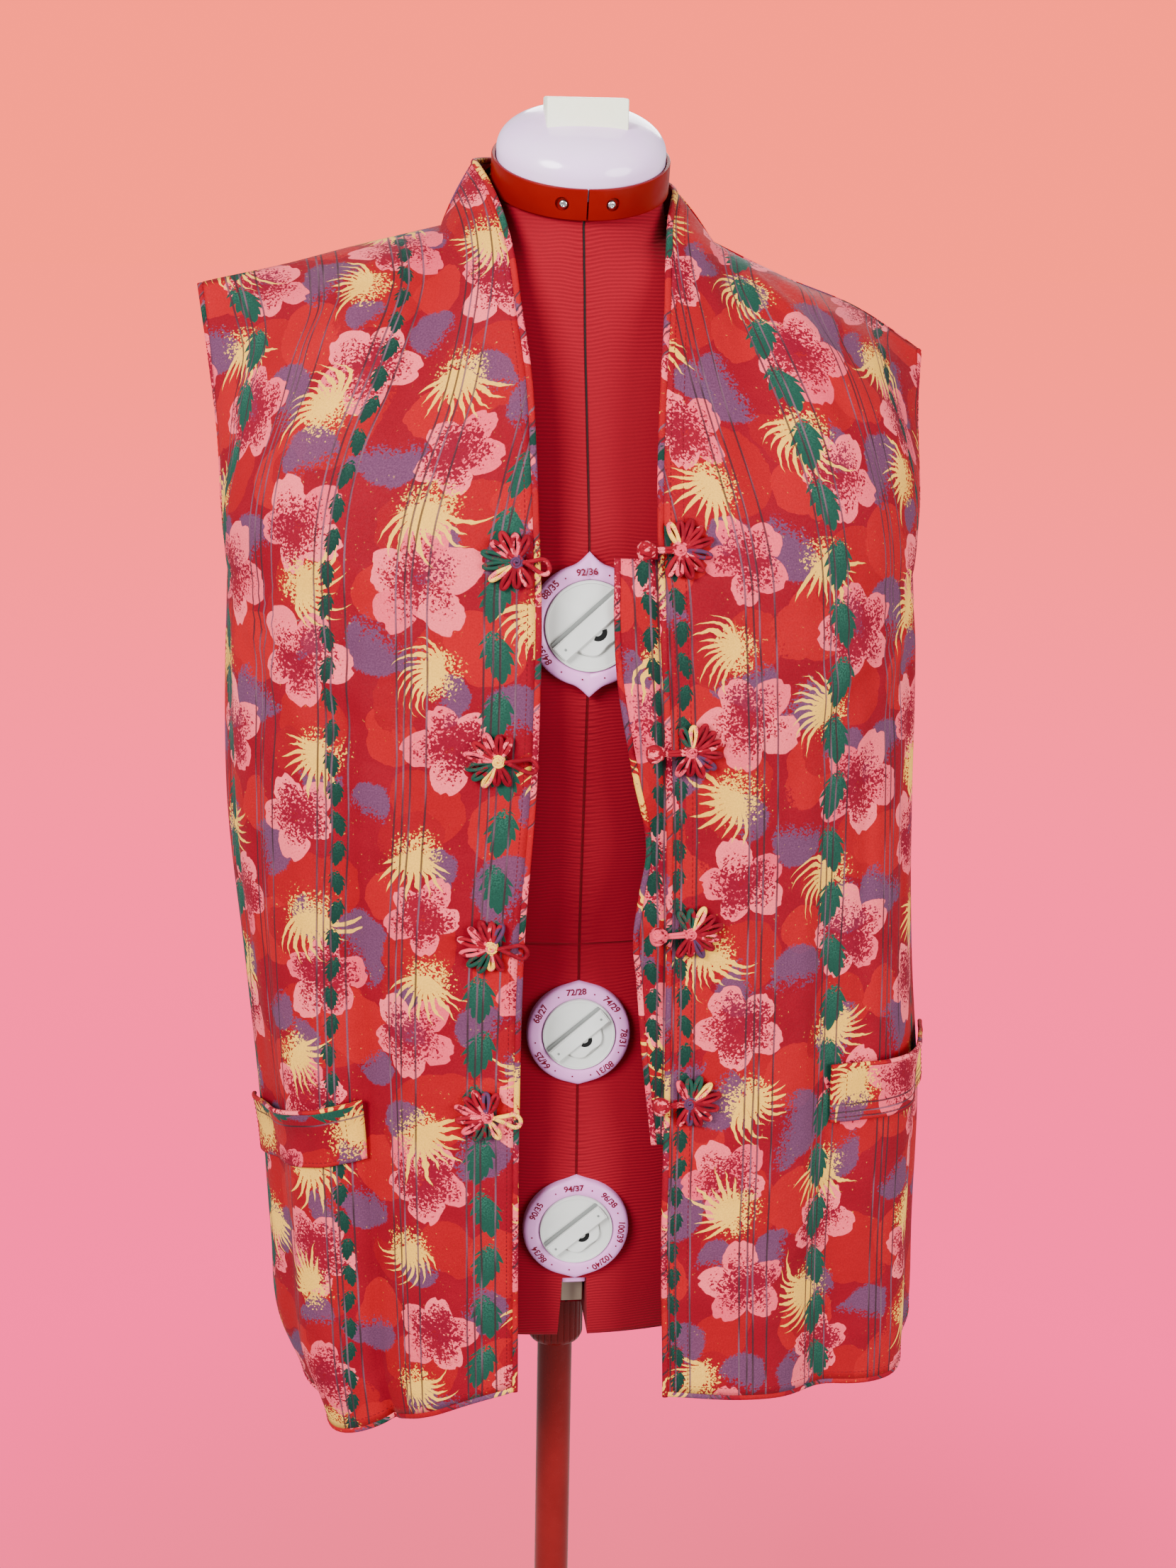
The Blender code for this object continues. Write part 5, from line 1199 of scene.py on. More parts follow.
frogTable = [
    ("1", 0.048, 1.193, 0.027, 0.0490, 1.200, 0.028),
    ("2", 0.058, 1.073, 0.033, 0.059, 1.078, 0.036),
    ("3", 0.061, 0.953, 0.037, 0.063, 0.960, 0.042),
    ("4", 0.063, 0.840, 0.040, 0.066, 0.846, 0.047),
]
frog = {"petals": 10, "reach": 0.0172, "longer": 0.20, "open": radians(50), "boss": 0.0050,
        "petalHalf": 0.0018, "tube": 0.00135, "coilTube": 0.00095, "coilTurns": 2.4,
        "cord": 0.00135, "loopHalf": 0.0066, "ball": 0.0062, "ballTube": 0.00165,
        "stem": 0.00120, "lift": 0.0004}
ahead = np.array([0.0, -1.0, 0.0])
petalKinds = (0, 5, 3, 1, 0, 2, 5, 4, 0, 1, 5, 0, 3)
coilKinds, cordKinds = (4, 1, 2, 1, 2, 1, 1, 4), (5, 5, 0, 5, 0, 1, 2, 5)


# Tube whose first coordinate carries the number of its colours' kind
def frogTube(path, refs, radius, flatness, number, sides=8, closed=False):
    verts, quads, uv = tubeArrays(path, refs, radius, radius * flatness, sides, closed)
    return [verts, quads, uv + np.array([number, 0.0])]


def frogCore(grid, number):
    return [grid.reshape(-1, 3), gridQuads(*grid.shape[:2], wrapV=True),
            np.full((grid.shape[0] * grid.shape[1], 2), number)]


# A petal is a tube along a teardrop: reach out goes as (1 - cos t) / 2 and the half-width
# as sin t, narrowed towards the coil
def petalParts(name, centre, facing, first):
    parts = []
    t = np.linspace(0.10 * pi, 1.90 * pi, 26)
    out = (1 - np.cos(t)) / 2
    step = (2 * pi - 2 * frog["open"]) / frog["petals"]
    for k in range(frog["petals"]):
        wobble = sin(7.1 * k + 2.3 * first)
        turn = frog["open"] + step * (k + 0.5) + 0.05 * wobble
        reach = frog["reach"] * (1 + frog["longer"] * max(0.0, -cos(turn)) + 0.05 * sin(3.7 * k))
        root = frog["boss"] * 0.55
        far = root + (reach - frog["tube"] - root) * out
        wide = frog["petalHalf"] * (1 + 0.12 * wobble) * np.sin(t) * out ** 0.30 * 1.12
        x = centre[0] + facing * (cos(turn) * far - sin(turn) * wide)
        z = centre[1] + sin(turn) * far + cos(turn) * wide
        high = frog["lift"] + frog["tube"] + 0.0020 * (1 - out)
        high = high + 0.0009 * np.sin(pi * out) + 0.0003 * (1 + wobble)
        kind = petalKinds[(k * 3 + first * 5) % len(petalKinds)]
        verts, quads, uv = tubeArrays(standing(name, x, z, high), ahead,
                                      frog["tube"] * (1 + 0.10 * np.sin(t * 3 + k)),
                                      frog["tube"] * 1.15, 8)
        parts.append([verts, quads, uv + np.array([(first * 12 + k) * 6.0 + kind, 0.0])])
    return parts


# Coil of cloth tube: a flat spiral over a low round core, whose rings are given as shares
# of its radius and heights
def coilParts(name, centre, facing, number):
    turns = frog["coilTurns"] * 2 * pi
    a = np.linspace(0, turns, 70)
    far = 0.0006 + (frog["boss"] - frog["coilTube"] - 0.0006) * a / turns
    high = frog["lift"] + 0.0040 + 0.0009 * (1 - (far / frog["boss"]) ** 2)
    spiral = standing(name, centre[0] + facing * far * np.cos(a), centre[1] + far * np.sin(a), high)
    rings = np.array([(0.0, 0.0004), (1.0, 0.0004), (1.0, 0.0030), (0.80, 0.0042),
                      (0.45, 0.0046), (0.0, 0.0047)])
    turn = np.linspace(0, 2 * pi, 25)[:-1]
    reach = frog["boss"] * 0.96 * rings[:, :1]
    core = standing(name, centre[0] + reach * np.cos(turn), centre[1] + reach * np.sin(turn),
                    rings[:, 1:])
    return [frogTube(spiral, ahead, frog["coilTube"], 1.1, number), frogCore(core, number)]


# Loop: a long teardrop of cord from the coil to its tip past the front edge, which sinks
# a little towards the tip
def loopParts(name, centre, tip, number):
    t = np.linspace(0.04 * pi, 1.96 * pi, 48)
    out = (1 - np.cos(t)) / 2
    start = abs(centre[0]) - frog["boss"] * 0.8
    x = start - (start - tip - frog["cord"]) * out
    z = centre[1] - 0.004 * out + frog["loopHalf"] * np.sin(t) * out ** 1.15
    high = 0.0012 + frog["cord"] + 0.0028 * (1 - out) ** 2 + 0.0004 * np.sin(t * 5)
    return [frogTube(standing(name, side[name] * x, z, high), ahead, frog["cord"], 1.05, number, 10)]


# Knot: cord wound round a ball, its length of turn going three times about the axis while
# its height goes five times up and down, on a stem of two cords side by side
def knotParts(name, centre, ball, number):
    limit = edgeX(name, np.array(centre[1])) + 0.002
    start = abs(centre[0]) - frog["boss"] * 0.7
    low = standing(name, np.array(side[name] * start), np.array(centre[1]), 0.0042)
    seat = faceY(name, np.array(max(ball, float(limit))), np.array(centre[1]))
    middle = np.array([side[name] * ball, float(seat) - frog["ball"] - 0.0008, centre[1]])
    axis = unit(middle - low)
    second = unit(np.cross(axis, np.array([0.0, 0.3, 1.0])))
    basis = np.stack([axis, second, np.cross(axis, second)])

    def rays(lat, turn):
        lat, turn = np.broadcast_arrays(lat, turn)
        return np.stack([np.sin(lat), np.cos(lat) * np.cos(turn), np.cos(lat) * np.sin(turn)],
                        axis=-1) @ basis

    t = np.linspace(0, 2 * pi, 161)[:-1]
    ray = rays(radians(58) * np.sin(5 * t), 3 * t)
    reach = frog["ball"] - frog["ballTube"] + 0.0004 * np.sin(15 * t)
    parts = [frogTube(middle + ray * reach[:, None], ray, frog["ballTube"], 0.85, number,
                      closed=True)]
    core = rays(np.linspace(-pi / 2, pi / 2, 13)[:, None], np.linspace(0, 2 * pi, 19)[None, :-1])
    parts.append(frogCore(middle + frog["ball"] * 0.80 * core, number))
    share = np.linspace(0, 1, 14)[:, None]
    for way in (-1, 1):
        path = low + (middle - axis * frog["ball"] * 0.7 - low) * share
        path = path + np.array([0.0, 0.0, way * 0.0011]) * (1 - 0.4 * share)
        path = path + ahead * 0.0006 * np.sin(pi * share)
        parts.append(frogTube(path, ahead, frog["stem"], 1.0, number))
    return parts


def makeFrogs():
    for number, (label, *places) in enumerate(frogTable):
        for name, (x, z, tip) in (("left", places[:3]), ("right", places[3:])):
            centre, facing = (side[name] * x, z), -side[name]
            first = number * 2 + (name == "right")
            parts = petalParts(name, centre, facing, first)
            parts += coilParts(name, centre, facing, first * 72 + 66.0 + coilKinds[first])
            makePiece("frogFlower" + name.capitalize() + label, *joined(parts), finishes["tube"],
                      [f"frog_flower_{name}_{label}"], "cloth")
            kind, build = ("loop", loopParts) if name == "left" else ("knot", knotParts)
            parts = build(name, centre, tip, first * 72 + 60.0 + cordKinds[first])
            makePiece("frog" + kind.capitalize() + label, *joined(parts), finishes["tube"],
                      [f"frog_{kind}_{label}"], "cloth")


makeFrogs()
print("frogs made")


# Rows of running stitches: short rounded threads that stand on a line over the cloth
def stitchRow(line, normal, pitch=0.0030, length=0.0021, radius=0.00024):
    at, far = finer(line, pitch)
    spots, up = resampled(line, far, at), unit(resampled(normal, far, at))
    way = unit(np.gradient(spots, axis=0))
    t = np.linspace(-1, 1, 5)
    turn = np.arange(5) * 2 * pi / 5
    wide = radius * np.sqrt(np.maximum(0, 1 - np.abs(t) ** 4))
    spots, way, up, across = (k[:, None, None] for k in (spots, way, up, np.cross(way, up)))
    verts = (spots + way * (t * length / 2)[None, :, None, None]
             + across * (wide[:, None] * np.cos(turn))[None, :, :, None]
             + up * (wide[:, None] * np.sin(turn))[None, :, :, None])
    starts = np.arange(len(spots)) * 25
    quads = (gridQuads(5, 5, wrapV=True)[None] + starts[:, None, None]).reshape(-1, 4)
    return [verts.reshape(-1, 3), quads, np.zeros((len(spots) * 25, 2))]


# Strip that the loops button over, behind the right front's edge
standTable = {
    "z": [0.815, 0.874, 0.927, 0.953, 0.979, 1.009, 1.064, 1.128, 1.162],
    "edge": [0.043, 0.036, 0.031, 0.028, 0.031, 0.035, 0.024, 0.013, 0.011],
    "behind": [0.001, 0.003, 0.004, 0.001, 0.0055, 0.006, 0.0015, 0.004, 0.004],
}
buttonStand = {"low": 0.815, "high": 1.193, "inner": 0.060, "wall": 0.0016}


def makeButtonStand():
    z, s = np.broadcast_arrays(np.linspace(buttonStand["low"], buttonStand["high"], 150)[None, :],
                               np.linspace(0, 1, 26)[:, None])
    outer = along(standTable, "edge", z) + edgeRoom
    x = outer + (buttonStand["inner"] - outer) * s
    back = faceY("right", x, z) + garment["wall"] * 1.5 + 0.0002
    y = back + along(standTable, "behind", z) * (1 - s) ** 1.5 + 0.0008 * (1 - s)
    grid = np.stack([x, y, z], axis=-1)
    normals = gridNormals(grid)
    normals = normals if normals[10, 70, 1] < 0 else -normals
    uv = np.stack([motifs["smallAt"] + 0.009 + x - edgeX("right", z), z + 0.31], axis=-1)
    wallPiece("buttonStand", grid, normals, uv, finishes["cotton"], ["button_stand"],
              buttonStand["wall"])
    bindPanelEdge("bindingButtonStand", grid, normals, "start", "edging_button_stand",
                  finishes["cotton"], 0.93)


# Welts: the front's own surface moved out, with a mouth that gapes towards the side seam,
# a rolled upper edge and stitching round the other three sides. The table has the top's
# height at its inner and outer ends, and the mouth's gape
weltTable = {"left": (0.838, 0.808, 0.007), "right": (0.856, 0.850, 0.006)}
welt = {"inner": 0.36, "outer": 0.928, "depth": 0.040, "lift": 0.0008, "roll": 0.0014,
        "stitchesAbove": 0.00008}


def weltSurface(name, share, across, row):
    innerTop, outerTop, mouth = weltTable[name]
    z = innerTop + (outerTop - innerTop) * across - welt["depth"] * (1 - row)
    hem = along(hemTable, name, share) + edgeRoom
    grid = frontBelow(name, share, (z - hem) / (garment["underarm"] - hem))
    normals = panelNormals(name, grid)
    fixed = 1 - ease((share - 0.93) / 0.07)
    depth = foldDepth(name, share, grid[..., 2], garment["frontSpan"]) * fixed
    gape = mouth * row ** 2.2 * np.sin(pi * np.minimum(1, 0.12 + 0.80 * across))
    grid = grid + normals * (garment["wall"] + welt["lift"] + gape - depth)[..., None]
    return grid, panelNormals(name, grid)


def makeWelt(name):
    across, row = np.broadcast_arrays(np.linspace(0, 1, 80)[:, None], np.linspace(0, 1, 26)[None, :])
    share = welt["inner"] + (welt["outer"] - welt["inner"]) * across
    grid, normals = weltSurface(name, share, across, row)
    far, up = lengthAlong(grid, 0), lengthAlong(grid, 1)
    uv = np.stack([1.66 + up + 0.3 * (name == "right"), far + 0.53], axis=-1)
    title = name.capitalize()
    wallPiece("welt" + title, grid, normals, uv, finishes["cotton"], ["welt_" + name],
              garment["wall"])
    line, out, normal = edgeFrame(grid, normals, "high")
    verts, quads, uv = tubeArrays(line + out * 0.0004, normal, welt["roll"], welt["roll"] * 1.15, 10)
    makePiece("weltRoll" + title, verts, quads, uv + 0.77, finishes["cotton"], (), "cloth")
    raised = grid + normals * (garment["wall"] / 2 + welt["stitchesAbove"])
    a, b = 6, 2
    rows = [stitchRow(raised[k], normals[k]) for k in (
        np.s_[a, b:], np.s_[-b - 1, b:], np.s_[a:-b, b])]
    makePiece("weltStitches" + title, *joined(rows), finishes["stitch"], (), "cloth")


# Stitching beside the bindings of both fronts, and the seam of the right front's facing
def makeFrontStitches(name):
    grid, normals = surfaces[name]
    raised = grid + normals * (garment["wall"] / 2 + welt["stitchesAbove"])
    rows = [stitchRow(raised[1], normals[1]), stitchRow(raised[2:, 1], normals[2:, 1])]
    if name == "right":
        rows.append(stitchRow(raised[3], normals[3], 0.0036, 0.0026, 0.00020))
    makePiece("frontStitches" + name.capitalize(), *joined(rows), finishes["stitch"], (), "cloth")


makeButtonStand()
for name in side:
    makeWelt(name)
for name in side:
    makeFrontStitches(name)
print("button stand, welts and stitching made")


# Dress form

bodyTable = {
    "z": [0.6600, 0.7000, 0.7500, 0.8200, 0.8800, 0.9390, 1.0000, 1.0800, 1.1500, 1.2000,
          1.2500, 1.2850, 1.3100, 1.3280, 1.3400, 1.3500, 1.3600, 1.3700, 1.3810],
    "half": [0.160, 0.166, 0.168, 0.152, 0.134, 0.125, 0.131, 0.146, 0.155, 0.162,
             0.174, 0.181, 0.174, 0.154, 0.1325, 0.1075, 0.083, 0.066, 0.0560],
    "front": [0.100, 0.106, 0.108, 0.106, 0.103, 0.100, 0.106, 0.119, 0.126, 0.116,
              0.096, 0.081, 0.070, 0.064, 0.0611, 0.0581, 0.0540, 0.0530, 0.0525],
    "back": [0.102, 0.105, 0.106, 0.100, 0.092, 0.087, 0.090, 0.097, 0.101, 0.103,
             0.100, 0.092, 0.082, 0.074, 0.068, 0.063, 0.058, 0.0555, 0.0535],
}
body = {"x": -0.002, "power": 2.15, "tilt": radians(21.5), "tiltFrom": 1.355, "neckX": -0.0005,
        "neckZ": 1.4048, "neckR": 0.0526, "neckTop": 0.0100, "notch": (0.0160, 0.0465), "flare": 1.6}
neckBase = np.array([body["neckX"], 0.0, body["neckZ"]])
neckAxis = np.array([0.0, -sin(body["tilt"]), cos(body["tilt"])])
neckFront = np.array([0.0, -cos(body["tilt"]), -sin(body["tilt"])])


# Front depth of the torso at a place: the ring's superellipse solved for y
def torsoY(x, z):
    half, front = along(bodyTable, "half", z), along(bodyTable, "front", z)
    share = np.clip(np.abs(x - body["x"]) / half, 0, 1)
    return -front * (1 - share ** body["power"]) ** (1 / body["power"])


# Cut shapes out of a piece, keep the result as its mesh and drop the cutters
def cutAway(piece, sharp, *cutters):
    for cutter in cutters:
        cut = piece.modifiers.new(cutter.name, "BOOLEAN")
        cut.object, cut.operation, cut.solver = cutter, "DIFFERENCE", "EXACT"
    made = bpy.data.meshes.new_from_object(
        piece.evaluated_get(bpy.context.evaluated_depsgraph_get()))
    old, title = piece.data, piece.data.name
    piece.modifiers.clear()
    piece.data = made
    bpy.data.meshes.remove(old)
    made.name = title
    for cutter in cutters:
        bpy.data.objects.remove(cutter, do_unlink=True)
    made.shade_smooth()
    made.set_sharp_from_angle(angle=radians(sharp))


# Box whose lower end is wider than its upper one by the flare
def boxCutter(name, low, high, flare):
    bpy.ops.mesh.primitive_cube_add(size=1)
    cutter = bpy.context.object
    cutter.name = name
    middle, size = (Vector(low) + Vector(high)) / 2, Vector(high) - Vector(low)
    cutter.data.transform(Matrix.Translation(middle) @ Matrix.Diagonal((*size, 1)))
    for v in cutter.data.vertices:
        if v.co.z < middle.z:
            v.co.x = middle.x + (v.co.x - middle.x) * flare
    return cutter


# Torso: rings of a superellipse whose half-widths are read from the table, lifted behind
# and dropped in front of the neck where its sections lean
def makeTorso():
    near = np.linspace(-0.10, 0.10, 25)
    turn = np.concatenate([near, np.linspace(0.10, 2 * pi - 0.10, 150)[1:-1]])
    zs = np.unique(np.concatenate([np.linspace(0.66, 1.32, 166), np.linspace(1.32, 1.381, 40)]))
    z, t = zs[:, None], turn[None, :]
    half, front, back = (along(bodyTable, k, z) for k in ("half", "front", "back"))
    power = 2 / body["power"]
    x = half * signedPower(np.sin(t), power)
    y = -np.where(np.cos(t) > 0, front, back) * signedPower(np.cos(t), power)
    lift = np.tan(body["tilt"]) * y * ease((z - body["tiltFrom"]) / 0.040)
    rings = np.stack(np.broadcast_arrays(body["x"] + x, y, z + lift), axis=-1)
    ray = np.sin(turn)[:, None] * np.array([1.0, 0, 0]) + np.cos(turn)[:, None] * neckFront
    neck = [neckBase + neckAxis * far + ray * reach for far, reach in (
        (-0.0050, body["neckR"]), (body["neckTop"], body["neckR"]), (body["neckTop"], 0.0))]
    foot = np.broadcast_to(np.array([body["x"], 0.0, zs[0]]), rings[0].shape)
    inset = rings[0] * np.array([0.985, 0.985, 1.0])
    grid = np.concatenate([np.stack([foot, inset]), rings, np.stack(neck)])
    grid[2, :, 2] += 0.0018
    piece = makePiece("formTorso", grid, gridQuads(len(grid), len(turn), wrapV=True), None,
                      finishes["knit"], ["form_torso"], "knit")
    wide, high = body["notch"]
    cutAway(piece, 50, boxCutter("notchCutter", (body["x"] - wide / 2, -0.155, 0.60),
                                 (body["x"] + wide / 2, -0.055, zs[0] + high), body["flare"]))


# Solid of revolution about an axis: a closed profile of (height, radius) pairs
def latheArrays(base, axis, profile, sides=96, grip=None, sweep=2 * pi, start=0.0):
    axis = unit(np.asarray(axis, float))
    first = unit(np.cross(axis, np.array([1.0, 0, 0] if abs(axis[0]) < 0.5 else [0, 0, 1.0])))
    whole = sweep > 2 * pi - 1e-6
    turn = start + np.linspace(0, sweep, sides + (0 if whole else 1), endpoint=not whole)
    profile = np.asarray(profile, float)
    reach = profile[:, 1][None, :] * np.ones(len(turn))[:, None]
    if grip is not None:
        reach = reach + grip(turn)[:, None] * (profile[:, 1] > profile[:, 1].max() * 0.97)
    ray = np.cos(turn)[:, None] * first + np.sin(turn)[:, None] * np.cross(axis, first)
    grid = (np.asarray(base, float) + axis * profile[:, :1][None]
            + ray[:, None] * reach[..., None])
    quads = gridQuads(len(turn), len(profile), wrapU=whole, wrapV=True)
    verts = grid.reshape(-1, 3)
    if whole:
        return verts, quads
    count = len(profile)
    caps = []
    for end in (0, len(turn) - 1):
        middle = np.full(count, len(verts))
        verts = np.vstack([verts, grid[end].mean(axis=0)])
        k = end * count + np.arange(count)
        caps.append(np.stack([k, np.roll(k, -1), middle, middle], axis=-1))
    return verts, np.concatenate([quads, *caps])


# Round off the corners of a profile of (height, radius) points, each with its own arc
def rounded(points, radius, steps=4):
    points = np.asarray(points, float)
    made = []
    for i, spot in enumerate(points):
        if spot[1] < 1e-9:
            made.append(spot)
            continue
        before, after = points[i - 1] - spot, points[(i + 1) % len(points)] - spot
        size = min(radius, np.linalg.norm(before) / 2, np.linalg.norm(after) / 2)
        a, b = spot + unit(before) * size, spot + unit(after) * size
        t = np.linspace(0, 1, steps + 1)[:, None]
        made.extend((1 - t) ** 2 * a + 2 * t * (1 - t) * spot + t ** 2 * b)
    return np.array(made)


# Profile of a plain disc or cylinder
def disc(radius, low, high):
    return [(low, 0), (low, radius), (high, radius), (high, 0)]


band = {"radius": 0.0556, "wall": 0.0024, "height": 0.0194, "slit": 0.0010, "hole": 0.0043,
        "holeTurn": 15.2, "screw": 0.0027}


# Middle and outward way of a screw in the band, a turn from the front
def screwPlace(turn):
    t = radians(turn)
    ray = np.array([sin(t), -cos(t), 0.0])
    ray = unit(ray - neckAxis * (ray @ neckAxis))
    return neckBase + neckAxis * band["height"] / 2 + ray * band["radius"], ray


def makeNeck():
    outer, inner, top = band["radius"], band["radius"] - band["wall"], band["height"]
    profile = rounded([(0, outer), (top, outer), (top, inner), (0, inner)], 0.0006, 3)
    slit = band["slit"] / band["radius"]
    first = unit(np.cross(neckAxis, np.array([1.0, 0.0, 0.0])))
    second = np.cross(neckAxis, first)
    start = float(np.arctan2(neckFront @ second, neckFront @ first)) + slit / 2
    made = latheArrays(neckBase, neckAxis, profile, 160, sweep=2 * pi - slit, start=start)
    piece = makePiece("neckBand", *made, None, finishes["band"], ["neck_band"], "red_gloss", 40)
    cutters = []
    for name, way in side.items():
        spot, ray = screwPlace(way * band["holeTurn"])
        mesh = bpy.data.meshes.new("holeCutter" + name)
        verts, quads = latheArrays(spot - ray * 0.0018, ray, disc(band["hole"], 0, 0.004), 40)
        mesh.from_pydata(verts.tolist(), [], quads.tolist())
        weldMesh(mesh)
        cutters.append(linked(mesh.name, mesh))
        # Painted shade: a near-black disc closes each screw hole from behind, standing for the shade
        # inside it
        cup = latheArrays(spot - ray * 0.0024, ray, disc(band["hole"] + 0.0006, 0, 0.0005), 40)
        makePiece("bandHoleShade" + name.capitalize(), *cup, None, finishes["deepShade"], (), "red_gloss", 50)
        head = [(h, r * band["screw"]) for h, r in (
            (0, 0), (0, 1.0), (0.0010, 1.0), (0.0018, 0.86), (0.0022, 0.55), (0.0022, 0.42),
            (0.0013, 0.30), (0.0013, 0))]
        place = spot - ray * 0.0017 + np.array([-0.0008 * way, 0.0, -0.0003])
        made = latheArrays(place, ray, rounded(head, 0.0002, 2), 48)
        makePiece("bandScrew" + name.capitalize(), *made, None, finishes["steel"],
                  ["band_screw_" + name], "steel", 50)
    cutAway(piece, 35, *cutters)


cap = {"radius": 0.0526, "rise": 0.0208, "roundness": 0.62, "block": (0.0500, 0.0300, 0.0215),
       "blockLean": radians(3), "sunk": 0.0100}


# Dome: radius falls as a power of the cosine while the height goes as the sine
def makeCap():
    shoulder = band["height"] + 0.0010
    t = np.radians(np.linspace(0, 90, 40))
    dome = np.stack([shoulder + 0.003 + cap["rise"] * np.sin(t),
                     cap["radius"] * np.maximum(np.cos(t), 0) ** cap["roundness"]], axis=-1)
    dome[-1, 1] = 0.0
    low = body["neckTop"] + garment["gap"]
    lip = [(low, 0.0), (low, cap["radius"] - 0.001), (low + 0.001, cap["radius"]),
           (shoulder, cap["radius"])]
    made = latheArrays(neckBase, neckAxis, np.vstack([lip, dome]), 120)
    makePiece("neckCap", *made, None, finishes["cap"], ["neck_cap"], "lilac", 60)
    capTop = shoulder + 0.003 + cap["rise"] * sin(radians(68)) + 0.001
    low = capTop - cap["sunk"] + garment["gap"]
    middle = neckBase + neckAxis * (low + cap["block"][2] / 2) + np.array([0.0015, 0, 0])
    roundedBox("capBlock", middle, cap["block"], 0.0014, "cream", ["cap_block"],
               cap["blockLean"])


# Mesh of a finished bmesh, shaded smooth but for its sharp edges
def meshFrom(name, work, sharp):
    mesh = bpy.data.meshes.new(name)
    work.to_mesh(mesh)
    work.free()
    mesh.shade_smooth()
    mesh.set_sharp_from_angle(angle=radians(sharp))
    return mesh


# Box with rounded edges, leaned about its middle
def roundedBox(name, middle, size, radius, finishName, replaced=(), lean=0.0):
    work = bmesh.new()
    bmesh.ops.create_cube(work, size=1, matrix=Matrix.Diagonal((*size, 1)))
    bmesh.ops.bevel(work, geom=work.edges[:], offset=radius, segments=4, profile=0.5,
                    affect="EDGES")
    work.transform(Matrix.Translation(Vector(middle)) @ Matrix.Rotation(lean, 4, "X"))
    placed(meshFrom(name, work, 50), finishes[finishName], replaced)


makeTorso()
makeNeck()
makeCap()
print("form made")


# Dials: a ring with small points above and below, a knob set in it and a bar across.
# The table has the height, the ring's and knob's radii, the bar's turn, and the numbers
# round the ring with their turns from the top, clockwise
dialTable = {
    "bust": (1.151, 0.0372, 0.0275, 42, (("92/36", -4), ("88/35", -48), ("84/33", -122),
                                         ("100/39", 128), ("96/38", 48), ("98/38", 88))),
    "waist": (0.880, 0.0335, 0.0235, 40, (("72/28", -4), ("68/27", -60), ("64/25", -126),
                                          ("80/31", 144), ("74/29", 46), ("78/31", 96))),
    "hip": (0.745, 0.0350, 0.0240, 40, (("94/37", -4), ("90/35", -62), ("86/34", -126),
                                        ("102/40", 143), ("96/38", 46), ("100/39", 95))),
}
dial = {"stands": 0.0048, "tip": {"bust": 0.0068, "waist": 0.0014, "hip": 0.0022},
        "tipTurn": radians(17), "text": 0.0057, "bold": 0.00012, "sides": 240}


def makeDial(name):
    z, ringR, knobR, barTurn, marks = dialTable[name]
    centre = body["x"]
    hit = np.array([centre, float(torsoY(np.array(centre), np.array(z))), z])
    step = 1e-3
    low, high = (float(torsoY(np.array(centre), np.array(z + k))) for k in (-step, step))
    axis = unit(np.array([0.0, -1.0, (high - low) / (2 * step)]))
    first = np.array([1.0, 0.0, 0.0])
    second = np.cross(axis, first)
    second = second if second[2] > 0 else -second
    turn = np.linspace(0, 2 * pi, dial["sides"] + 1)[:-1]
    ray = np.cos(turn)[:, None] * first + np.sin(turn)[:, None] * second

    # Height of the torso below the dial's plane, so that rims reach down to it
    def seat(reach):
        spot = hit + ray * np.asarray(reach)[..., None]
        return (torsoY(spot[:, 0], spot[:, 2]) - spot[:, 1]) / axis[1] - 0.0006

    def turned(kind, rows, finishName, sharp):
        grid = np.stack([hit + ray * np.asarray(out)[..., None] + axis * level[:, None]
                         for out, level in rows], axis=1)
        makePiece("dial" + kind.capitalize() + name.capitalize(), grid,
                  gridQuads(dial["sides"], len(rows), True, True), None, finishes[finishName],
                  [f"dial_{kind}_{name}"], finishName, sharp)

    upright = np.minimum(np.abs(turn - pi / 2), np.abs(turn - 3 * pi / 2))
    tip = dial["tip"][name] * np.clip(1 - upright / dial["tipTurn"], 0, 1) ** 2
    inner, outer, top = knobR + garment["gap"], ringR, dial["stands"]
    section = [(inner, None), (inner, top - 0.0008), (inner + 0.0006, top),
               (inner + 0.0030, top + 0.0002), (outer - 0.0034, top),
               (outer - 0.0012, top - 0.0009), (outer - 0.0002, top - 0.0024), (outer, None)]
    rows = []
    for reach, high in section:
        out = reach + tip * (reach - inner) / (outer - inner)
        rows.append((out, seat(out) if high is None
                     else np.maximum(high - tip * 0.34, seat(out) + 0.0006)))
    turned("ring", rows, "lilac", 55)

    # Knob: a flat face with a rim, and a shallow round recess on one side of the bar
    face, lean = top + 0.0004, radians(barTurn)
    edge = knobR * np.ones(len(turn))
    below = ease(-np.sin(turn - lean) / 0.05)
    rows = [(0 * edge, 0 * edge), (edge, seat(edge)), (edge, face + 0 * edge)]
    rows += [(edge * share, face + rise * (1 if rise >= 0 else below)) for share, rise in (
        (0.985, 0.0006), (0.94, 0.0006), (0.93, 0), (0.66, 0), (0.645, -0.0007),
        (0.63, -0.0009), (0.2, -0.0009), (0.0, -0.0009))]
    turned("knob", [(out, level * np.ones(len(turn))) for out, level in rows], "white", 40)

    basis = Matrix((first, second, axis)).transposed()
    place = Matrix.Translation(Vector(hit)) @ basis.to_4x4()
    makeGrip(name, knobR, face, place @ Matrix.Rotation(lean, 4, "Z"))
    makeMarks(name, marks, place, (knobR + ringR) / 2, top + 0.0002)


